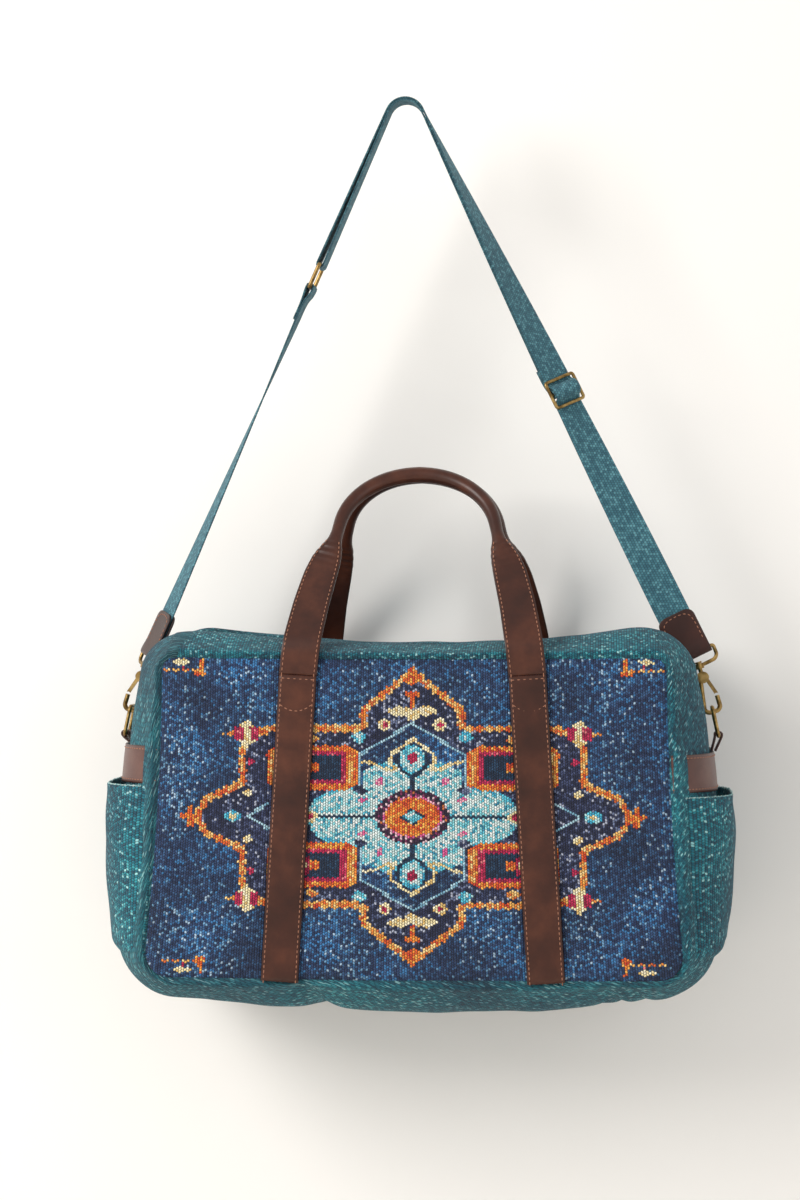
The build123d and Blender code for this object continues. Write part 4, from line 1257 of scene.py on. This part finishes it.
def legFrame(side, turn):
    up = leaning(side, legLean(side))
    flat = np.array([up[2], 0, -up[0]])
    a = math.radians(turn)
    width = flat * math.cos(a) + np.array([0, 1, 0]) * math.sin(a)
    return up, width, np.cross(width, up)


def legStart(side):
    up = leaning(side, legLean(side))
    return np.array([side * up[2], 0, side * -up[0]]) * midRadius


def legPath(side, start, end, turnStart, turnEnd, offset, steps=40):
    points, across = [], []
    for t in np.linspace(0, 1, steps + 1):
        up, width, out = legFrame(side, turnStart + (turnEnd - turnStart) * t)
        points.append(legStart(side) - up * (start + (end - start) * t) + out * offset)
        across.append(width)
    return points, across


def profilePath(origin, up, width, out, controls):
    points = [origin - up * s + out * n for s, n in chaikin(controls, 3)]
    return points, [width] * len(points)


def tangentNormal(centre, reach):
    distance = np.linalg.norm(centre)
    slope = math.asin(reach / distance)
    away = centre / distance
    left = np.array([away[2], 0, -away[0]])
    return left * math.cos(slope) + away * math.sin(slope)


def arcPath(centre, radius, first, second):
    start, end = math.atan2(first[2], first[0]), math.atan2(second[2], second[0])
    while end < start:
        end += 2 * math.pi
    angles = np.linspace(start, end, 24)
    return [centre + radius * np.array([math.cos(a), 0, math.sin(a)]) for a in angles]


legLength = {side: np.linalg.norm(legStart(side) - eyePoint(side)) for side in (-1, 1)}
tabStart = {side: legLength[side] - hang["eyeHeight"] - hang["tabLength"] for side in (-1, 1)}
loopRadius = hang["ringWire"] + hang["clear"] + hang["thick"] / 2
leftUp, leftWidth, leftOut = legFrame(-1, -90.0)
ringCentre = legStart(-1) - leftUp * hang["ringStation"]
upperBar = ringCentre + leftUp * hang["ringHalf"]
lowerBar = ringCentre - leftUp * hang["ringHalf"]
depthWay = np.array([0.0, 1.0, 0.0])


def follow(path, more):
    for values, extra in zip(path, more):
        values.extend(extra[1:])


def finishWebbing(name, path, node):
    obj = ribbon(name, *path, hang["width"], hang["thick"], webbingCotton, 2.4, 0.6)
    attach(obj, "shoulder_strap")
    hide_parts(node)


def buildLongWebbing():
    outer, inner = midRadius + strandOffset, midRadius - strandOffset
    outerNormal = tangentNormal(upperBar, outer - loopRadius)
    innerNormal = tangentNormal(upperBar, inner + loopRadius)
    rightNormal = legStart(1) / midRadius
    turn, station, stretch = hang["slideTurn"], hang["slideStation"], hang["slideStretch"]
    up, width, out = legFrame(1, turn)
    slide = legStart(1) - up * station
    rise = strandOffset + hang["thick"] / 2 + hang["clear"] + hang["slideWire"]
    overBar = rise + hang["slideWire"] + hang["clear"] + hang["thick"] / 2
    overLoop = overBar + hang["thick"] + hang["clear"]
    behind = rise - hang["slideWire"] - hang["clear"] - hang["thick"] / 2
    sewn = -strandOffset - hang["thick"] - hang["clear"]
    path = legPath(1, tabStart[1] + hang["tabLength"] - hang["tabTuck"], tabStart[1], 0, 0, 0, 4)
    follow(path, legPath(1, tabStart[1], station + stretch, hang["tabTurns"][1], turn, 0))
    # each pair is how far down the leg from the slider, and how far out
    overSlider = [
        (stretch, 0), (11, 0), (7, 3.2), (4.6, overLoop),
        (-4.6, overLoop), (-7.5, 3.2), (-10, strandOffset), (-stretch, strandOffset),
    ]
    follow(path, profilePath(slide, up, width, out, overSlider))
    follow(path, legPath(1, station - stretch, 0, turn, 90, strandOffset))
    around = arcPath(np.zeros(3), outer, rightNormal, outerNormal)
    around += [upperBar + outerNormal * loopRadius]
    # round the underside of the ring's upper bar, the long way
    start = math.atan2(outerNormal[2], outerNormal[0])
    finish = math.atan2(-innerNormal[2], -innerNormal[0])
    while finish < start:
        finish += 2 * math.pi
    for a in np.linspace(start, finish, 16):
        around.append(upperBar + loopRadius * np.array([math.cos(a), 0, math.sin(a)]))
    around += arcPath(np.zeros(3), inner, rightNormal, innerNormal)[::-1]
    follow(path, (around, [depthWay] * len(around)))
    follow(path, legPath(1, 0, station - stretch, 90, turn, -strandOffset))
    roundBar = [
        (-stretch, -strandOffset), (-9, -strandOffset), (-6, 1.0), (-3, overBar), (3.2, overBar),
        (3.4, rise), (3.2, behind), (-1.5, behind), (-9, sewn), (-27, sewn),
    ]
    follow(path, profilePath(slide, up, width, out, roundBar))
    finishWebbing("webbingLong", path, "webbing_long")
    back = out * (sewn - hang["thick"] / 2 - 0.1)
    for rise in hang["sewnEnd"]:
        spread = np.linspace(-hang["sewnHalf"], hang["sewnHalf"], 12)
        row = [slide + up * rise + back + width * w for w in spread]
        addStitches("shoulder_strap", row)


def buildShortWebbing():
    r = loopRadius
    long = hang["foldOver"]
    gap = hang["thick"] + hang["clear"]
    roundBar = [
        (long, gap), (14, gap), (6, r), (0, r + 0.3), (-r, r), (-r - 0.4, 0),
        (-r, -r), (0, -r - 0.3), (6, -r), (14, 0), (long, 0),
    ]
    path = profilePath(lowerBar, leftUp, leftWidth, leftOut, roundBar)
    start = hang["ringStation"] + hang["ringHalf"] + long
    turn = hang["tabTurns"][-1]
    follow(path, legPath(-1, start, tabStart[-1], -90, turn, 0))
    finish = tabStart[-1] + hang["tabLength"] - hang["tabTuck"]
    follow(path, legPath(-1, tabStart[-1], finish, turn, turn, 0, 4))
    finishWebbing("webbingShort", path, "webbing_short")


def buildTab(side, sideName):
    up, width, out = legFrame(side, hang["tabTurns"][side])
    bar = eyePoint(side) + up * hang["eyeHeight"]
    leather = hang["tabLeather"]
    ply = hang["thick"] / 2 + leather / 2 + 0.2
    fold = hang["eyeWire"] + hang["clear"] + leather / 2
    length = hang["tabLength"]
    # down one side of the webbing, round the eye's bar and up the other side
    halfFold = [(-length, ply), (-12, ply), (-5, fold * 0.95), (0, fold + 0.4), (fold, fold)]
    controls = halfFold + [(fold + 0.5, 0)] + [(s, -n) for s, n in halfFold[::-1]]
    points, across = profilePath(bar, up, width, out, controls)
    points, along, across = evenly(points, 1.0, across)
    fromEnd = np.minimum(along, along[-1] - along)
    corner = hang["tabCorner"]
    rounding = corner - np.sqrt(np.maximum(corner**2 - (corner - fromEnd) ** 2, 0))
    wide = hang["tabWidth"] - 2 * np.where(fromEnd < corner, rounding, 0)
    obj = ribbon("tab" + sideName.capitalize(), points, across, wide, leather, tabLeather, 1.0, 0.6)
    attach(obj, "shoulder_strap")
    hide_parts("strap_tab_" + sideName)
    half = hang["tabWidth"] / 2 - 3
    corners = [(-7, half), (-length + 9, half), (-length + 3, half - 6)]
    corners += [(s, -w) for s, w in corners[::-1]]
    for way in (-1, 1):
        face = bar + out * way * (ply + leather / 2 + 0.1)
        addStitches("shoulder_strap", [face - up * s + width * w for s, w in chaikin(corners, 2)])


buildLongWebbing()
buildShortWebbing()
for side, sideName in sideNames:
    buildTab(side, sideName)
print("stage: shoulder strap")

# End pockets, bands and loops

pocket = {
    "puff": 13.0,
    "grow": 2.4,
    "tops": {-1: -632.0, 1: -641.0},
    "bottom": -788.0,
    "hem": 3.0,
    "hemShares": (1.0, 0.42, 0.16, 0.05),  # how far each of the lowest rows is drawn back
    "hemDrop": 2.5,
    "cloth": 2.6,
    "wrinkle": 3.0,
    "curl": 1.0,
}
band = {"tops": {-1: -594.0, 1: -601.0}, "height": 35.0, "thick": 2.2, "clear": 0.3, "wrinkle": 1.2}
# the end rings lean inwards in the hooks, and each hangs in its loop
endRing = {"lean": 12.0, "height": 27.5, "wire": 1.8, "hookWire": 2.2, "clear": 0.35}
loop = {"width": 18.0, "thick": 2.0, "clear": 0.3}


def endColumns(y, puff, grow, levels, side):
    # the end wall's x at given heights, read off the outline at one depth
    flat = outline(y, puff, grow)
    fromMiddle = side * (flat[:, 0] - bag["shift"])
    wall = flat[(flat[:, 1] < bag["seamZ"] + 40) & (fromMiddle > 170)]
    order = np.argsort(wall[:, 1])
    return np.interp(levels, wall[order, 1], wall[order, 0])


def buildWall(name, side, top, bottom, puff, grow, rows, wrinkle, material, curl=0.0):
    depths = np.linspace(-1, 1, 61)
    depths = np.sign(depths) * (1 - (1 - np.abs(depths)) ** 1.35) * bag["halfDepth"]
    levels = np.linspace(bottom, top, rows)
    points, uvs = [], []
    for y in depths:
        full = 1 - (abs(y) / bag["halfDepth"]) ** 6
        for level, x in zip(levels, endColumns(y, puff, grow, levels, side)):
            lift = (level - bottom) / (top - bottom)
            out = wrinkle * full * noise.noise(Vector((y * 0.022, level * 0.02, side * 5.0)))
            out += curl * full * max(0.0, (lift - 0.9) * 10) ** 2
            points.append((x + side * out, y, level))
            cloth = (y / weaveLook["pitch"], level / weaveLook["pitch"])
            uvs.append(cloth if material is tealWeave else (lift, y))
    faces = []
    for k in range(len(depths) - 1):
        for j in range(rows - 1):
            a = k * rows + j
            quad = (a, a + rows, a + rows + 1, a + 1)
            faces.append(quad if side > 0 else quad[::-1])
    obj = makeObject(name, points, faces, material, uvs)
    return obj, depths, np.array(points).reshape(len(depths), rows, 3)


def buildPocket(side, sideName):
    name, top, bottom, rows = "pocket" + sideName.capitalize(), pocket["tops"][side], pocket["bottom"], 64
    sizes = (pocket["puff"], pocket["grow"], rows, pocket["wrinkle"])
    obj, depths, grid = buildWall(name, side, top, bottom, *sizes, tealWeave, pocket["curl"])
    # the bottom row is drawn back to the gusset, as a sewn hem
    hem = np.array([bottom - pocket["hem"]])
    for k, y in enumerate(depths):
        wall = endColumns(y, 0.0, 0.0, hem, side)[0]
        for j, share in enumerate(pocket["hemShares"]):
            vertex = obj.data.vertices[k * rows + j]
            x = vertex.co.x / mm
            vertex.co.x = (x + (wall + side * 1.0 - x) * share) * mm
            vertex.co.z -= share * pocket["hemDrop"] * mm
    applyModifier(obj, "SOLIDIFY", thickness=pocket["cloth"] * mm, offset=-1.0, use_rim=True)
    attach(obj, "bag")
    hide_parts("end_pocket_" + sideName)
    rim = grid[2:-2, -1, :] + np.array([-side * 1.2, 0, 0.6])
    tuftRuns.append(rim)


def buildBand(side, sideName):
    top, rows = band["tops"][side], 12
    sizes = (0.0, band["thick"] + band["clear"], rows, band["wrinkle"])
    name = "band" + sideName.capitalize()
    obj, _, grid = buildWall(name, side, top, top - band["height"], *sizes, bandLeather)
    applyModifier(obj, "SOLIDIFY", thickness=band["thick"] * mm, offset=-1.0, use_rim=True)
    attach(obj, "bag")
    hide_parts("end_band_" + sideName)
    for level in (1, rows - 2):
        addStitches("bag", grid[:, level, :] + np.array([side * 0.2, 0, 0]))


def buildLoop(side, sideName):
    ringUp = leaning(side, endRing["lean"])
    barRise = endRing["hookWire"] + endRing["clear"] + endRing["wire"]
    lowBar = contact(side) + ringUp * (barRise - endRing["height"])
    r = endRing["wire"] + loop["clear"] + loop["thick"] / 2
    bandTop = band["tops"][side]
    wall = endColumns(0.0, 0.0, 0.0, np.array([bandTop]), side)[0]
    near = abs(wall - bag["shift"]) + 1.6
    far = abs(lowBar[0] - bag["shift"])
    bar = lowBar[2]
    # up from the band, round the ring's lower bar and down again, in distance from the middle and height
    controls = [
        (near, bandTop - 1.5), (far - r, bar - 1), (far - r - 0.3, bar + 1), (far - r, bar + r),
        (far, bar + r + 0.4),
        (far + r, bar + r), (far + r + 0.3, bar + 1), (far + r, bar - 1), (near + 3.6, bandTop - 1.0),
    ]
    points = [(bag["shift"] + side * a, 0, b) for a, b in chaikin(controls, 3)]
    across = [depthWay] * len(points)
    name = "loop" + sideName.capitalize()
    obj = ribbon(name, points, across, loop["width"], loop["thick"], bandLeather, 1.2, 0.6, 7)
    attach(obj, "bag")
    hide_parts("ring_loop_" + sideName)


for side, sideName in sideNames:
    buildPocket(side, sideName)
    buildBand(side, sideName)
for side, sideName in sideNames:
    buildLoop(side, sideName)
print("stage: pockets, bands and loops")

# Mouth


mouthLook = {
    "tapeLift": 2.0,
    "facingRows": 8,
    "facingDepth": 20,  # of its cloth's map
    "facingDrop": 0.4,
    "inset": (1.3, 0.27, 7.0),  # the facing's distance from the slot, its ripple and the ripple's length
    "tapeEdge": 21.5,
    "tapeInner": 4.4,
    "closing": (156, 7, 4.1),  # past the stops the tapes meet: from where, over what length, by how much
    "tapeThick": 1.1,
}


def buildFacing(mouthX, mouthY, tape):
    corners = [(mouthX, mouthY), (-mouthX, mouthY), (-mouthX, -mouthY), (mouthX, -mouthY)]
    ring = []
    for first, second in zip(corners, corners[1:] + corners[:1]):
        steps = 90 if first[1] == second[1] else 10
        for t in np.linspace(0, 1, steps, endpoint=False):
            ring.append((first[0] + (second[0] - first[0]) * t, first[1] + (second[1] - first[1]) * t))
    ring = np.array(ring)
    upper = outline(mouthY)
    upper = upper[(upper[:, 1] > bag["seamZ"] - bag["mouthDepth"])]
    upper = upper[np.argsort(upper[:, 0])]
    arc = np.concatenate([[0], np.cumsum(np.linalg.norm(np.diff(ring, axis=0), axis=1))])
    rows = mouthLook["facingRows"]
    gap, wave, waveLength = mouthLook["inset"]
    pitch = weaveLook["pitch"]
    points, uvs = [], []
    for k in range(rows):
        t = k / (rows - 1)
        for (x, y), run in zip(ring, arc):
            top = float(np.interp(bag["shift"] + x, upper[:, 0], upper[:, 1])) - mouthLook["facingDrop"]
            inset = gap + wave * math.sin(run / waveLength)
            atEnd = abs(x) > mouthX - 0.1
            px = bag["shift"] + x - math.copysign(inset, x) * atEnd
            points.append((px, y - math.copysign(inset, y), tape - 1 + (top - tape + 1) * t))
            uvs.append((run / pitch, t * mouthLook["facingDepth"] / pitch))
    around = len(ring)
    faces = []
    for k in range(rows - 1):
        for j in range(around):
            i = (j + 1) % around
            faces.append((k * around + j, k * around + i, (k + 1) * around + i, (k + 1) * around + j))
    obj = makeObject("mouthFacing", points, faces, tealWeave, uvs)
    applyModifier(obj, "SOLIDIFY", thickness=bag["cloth"] * mm, offset=0.0, use_rim=True)
    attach(obj, "bag")
    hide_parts("mouth_facing")


def buildTape(face, faceName, mouthX, tape):
    x = np.linspace(-mouthX + 2.8, mouthX - 2.8, 60)
    start, length, amount = mouthLook["closing"]
    edge = mouthLook["tapeEdge"]
    inner = mouthLook["tapeInner"] - amount * np.clip((np.abs(x) - start) / length, 0, 1)
    level = tape + 0.6 + 0.25 * np.sin(x / 17.0)
    line = np.column_stack([bag["shift"] + x, face * (inner + edge) / 2, level])
    name = "zipTape" + faceName.capitalize()
    across = [(0, 1.0, 0)] * len(x)
    obj = ribbon(name, line, across, edge - inner, mouthLook["tapeThick"], tapeTwill, 5.0, 0.4, 7)
    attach(obj, "bag")
    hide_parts("zip_tape_" + faceName)
    addStitches("bag", line + np.array([0, face * 5.5, 0.75]))


buildFacing(*bag["mouth"], bag["seamZ"] + mouthLook["tapeLift"])
for face, faceName in faceNames:
    buildTape(face, faceName, bag["mouth"][0], bag["seamZ"] + mouthLook["tapeLift"])
print("stage: mouth")

# Stitches

def stitchTree(name, look, material):
    tree = bpy.data.node_groups.new(name, "GeometryNodeTree")
    tree.interface.new_socket("Geometry", in_out="INPUT", socket_type="NodeSocketGeometry")
    for label in ("Spacing", "Length", "Radius"):
        tree.interface.new_socket(label, in_out="INPUT", socket_type="NodeSocketFloat")
    tree.interface.new_socket("Geometry", in_out="OUTPUT", socket_type="NodeSocketGeometry")

    def add(kind, settings=None, **values):
        node = tree.nodes.new(kind)
        for key, value in (settings or {}).items():
            setattr(node, key, value)
        for key, value in values.items():
            node.inputs[key].default_value = value
        return node

    sway = look["sway"]
    start = add("NodeGroupInput")
    toCurve = add("GeometryNodeMeshToCurve")
    resample = add("GeometryNodeResampleCurve", {"mode": "LENGTH"})
    tangent = add("GeometryNodeInputTangent")
    align = add("FunctionNodeAlignEulerToVector", {"axis": "Z"})
    jitter = add(
        "FunctionNodeRandomValue", {"data_type": "FLOAT_VECTOR"}, Min=(-sway,) * 3, Max=(sway,) * 3, Seed=5
    )
    turn = add("FunctionNodeRotateEuler")
    halve = add("ShaderNodeMath", {"operation": "MULTIPLY"})
    halve.inputs[1].default_value = 0.5
    size = add("ShaderNodeCombineXYZ")
    bead = add("GeometryNodeMeshUVSphere", Segments=6, Rings=4, Radius=1.0)
    place = add("GeometryNodeInstanceOnPoints")
    realize = add("GeometryNodeRealizeInstances")
    paint = add("GeometryNodeSetMaterial", Material=material)
    end = add("NodeGroupOutput")
    for source, output, target, into in (
        (start, "Geometry", toCurve, 0),
        (toCurve, 0, resample, "Curve"),
        (start, "Spacing", resample, "Length"),
        (tangent, 0, align, "Vector"),
        (align, 0, turn, "Rotation"),
        (jitter, 0, turn, "Rotate By"),
        (start, "Length", halve, 0),
        (start, "Radius", size, 0),
        (start, "Radius", size, 1),
        (halve, 0, size, 2),
        (resample, 0, place, "Points"),
        (bead, 0, place, "Instance"),
        (turn, 0, place, "Rotation"),
        (size, 0, place, "Scale"),
        (place, 0, realize, 0),
        (realize, 0, paint, 0),
        (paint, 0, end, 0),
    ):
        tree.links.new(source.outputs[output], target.inputs[into])
    return tree


def buildStitches(name, runs, body, material, look):
    points, edges = [], []
    for line in runs:
        begin = len(points)
        points.extend((np.asarray(line) * mm).tolist())
        edges.extend((begin + k, begin + k + 1) for k in range(len(line) - 1))
    mesh = bpy.data.meshes.new(name)
    mesh.from_pydata(points, edges, [])
    obj = bpy.data.objects.new(name, mesh)
    collection.objects.link(obj)
    modifier = obj.modifiers.new("stitches", "NODES")
    modifier.node_group = stitchTree(name + "Tree", look, material)
    for item in modifier.node_group.interface.items_tree:
        if item.item_type == "SOCKET" and item.in_out == "INPUT" and item.name.lower() in look:
            modifier[item.identifier] = look[item.name.lower()] * mm
    depsgraph = bpy.context.evaluated_depsgraph_get()
    made = bpy.data.meshes.new_from_object(obj.evaluated_get(depsgraph), depsgraph=depsgraph)
    obj.modifiers.clear()
    obj.data = made
    made.shade_smooth()
    bpy.data.meshes.remove(mesh)
    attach(obj, body)


for body, runs in stitchRuns.items():
    name = "stitches" + "".join(p.capitalize() for p in body.split("_"))
    buildStitches(name, runs, body, threadBrown, stitchLook)
buildStitches("pocketTufts", tuftRuns, "bag", tuftPale, tuftLook)
print("stage: stitches")

# Hardware keeps its CAD shape

brassNodes = [
    "end_ring_left",
    "end_ring_right",
    "hook_body_left",
    "hook_body_right",
    "hook_gate_left",
    "hook_gate_right",
    "swivel_eye_left",
    "swivel_eye_right",
    "strap_ring",
    "strap_slider",
    "zip_teeth_front",
    "zip_teeth_back",
    "zip_stops",
    "zip_slider",
    "zip_pull",
]
for nodeName in brassNodes:
    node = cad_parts[nodeName]
    node.data.materials.clear()
    node.data.materials.append(antiqueBrass)

# Room, light and camera

room = {
    "wallY": 0.150,
    "floorZ": -1.45,
    "halfWidth": 4000,
    "front": -6000,
    "top": 3000,
    "wallColour": (244, 242, 239),
    "floorColour": (224, 220, 214),
}


def roomMaterial(name, colour, seenBehind=True):
    s = Shader(name)
    fine = s.cloudy(3.0)
    tone = s.blendColours(fine, solid(*colour), solid(*[min(255, c + 6) for c in colour]))
    if seenBehind:
        return s.finish(tone, 0.85 + fine * 0.05)
    behind = s.make("ShaderNodeNewGeometry", output="Backfacing")
    return s.finish(tone, 0.85 + fine * 0.05, Alpha=1.0 - behind)


def buildRoom():
    wallPaint = roomMaterial("wallPaint", room["wallColour"], seenBehind=False)
    floorPaint = roomMaterial("floorPaint", room["floorColour"])
    back, low = room["wallY"] / mm, room["floorZ"] / mm
    half, front, top = room["halfWidth"], room["front"], room["top"]
    points = [(-half, back, low), (half, back, low), (half, back, top), (-half, back, top)]
    wall = makeObject("wall", points, [(0, 1, 2, 3)], wallPaint, smooth=False)
    points = [(-half, front, low), (half, front, low), (half, back, low), (-half, back, low)]
    floor = makeObject("floor", points, [(0, 1, 2, 3)], floorPaint, smooth=False)


def addLamp(name, place, aim, size, power, colour):
    data = bpy.data.lights.new(name, "AREA")
    data.shape = "RECTANGLE"
    data.size, data.size_y = size
    data.energy = power
    data.color = colour
    lamp = bpy.data.objects.new(name, data)
    collection.objects.link(lamp)
    lamp.location = place
    lamp.rotation_euler = (Vector(aim) - Vector(place)).to_track_quat("-Z", "Y").to_euler()


buildRoom()
# place, aim, size, power and colour of each lamp
lampLook = {
    "keyLamp": ((-1.7, -1.9, 0.5), (0, 0, -0.55), (1.1, 1.3), 52.0, (1.0, 0.97, 0.93)),
    "fillLamp": ((1.9, -2.0, -0.2), (0, 0, -0.6), (1.6, 1.6), 8.0, (0.94, 0.97, 1.0)),
}
worldLook = {"colour": (1.0, 0.99, 0.98, 1.0), "strength": 0.66}
for name, settings in lampLook.items():
    addLamp(name, *settings)
world = bpy.data.worlds.new("studio")
world.use_nodes = True
world.node_tree.nodes["Background"].inputs[0].default_value = worldLook["colour"]
world.node_tree.nodes["Background"].inputs[1].default_value = worldLook["strength"]
bpy.context.scene.world = world

# The focal length and the aside are in the picture's pixels, and a pixel is so many millimetres at the panel
view = {
    "yaw": 4.0,
    "focal": 3200.0,
    "pixel": 0.92,
    "aside": 13,
    "level": -0.459,
    "front": -110.4,
    "sensor": 36.0,
    "pictureHeight": 1200.0,
}
yaw = math.radians(view["yaw"])
forward = (-math.sin(yaw), math.cos(yaw))
right = (math.cos(yaw), math.sin(yaw))
reach = view["focal"] * view["pixel"]
aside = view["aside"] * view["pixel"]
cameraX = bag["shift"] - reach * forward[0] - aside * right[0]
cameraY = view["front"] - reach * forward[1] - aside * right[1]
cameraData = bpy.data.cameras.new("camera")
cameraData.sensor_width = view["sensor"]
cameraData.lens = view["sensor"] * view["focal"] / view["pictureHeight"]
camera = bpy.data.objects.new("camera", cameraData)
collection.objects.link(camera)
camera.location = (cameraX * mm, cameraY * mm, view["level"])
camera.rotation_euler = (math.radians(90), 0, yaw)
bpy.context.scene.camera = camera
bpy.context.scene.view_settings.view_transform = "Standard"
print("stage: room, light and camera")
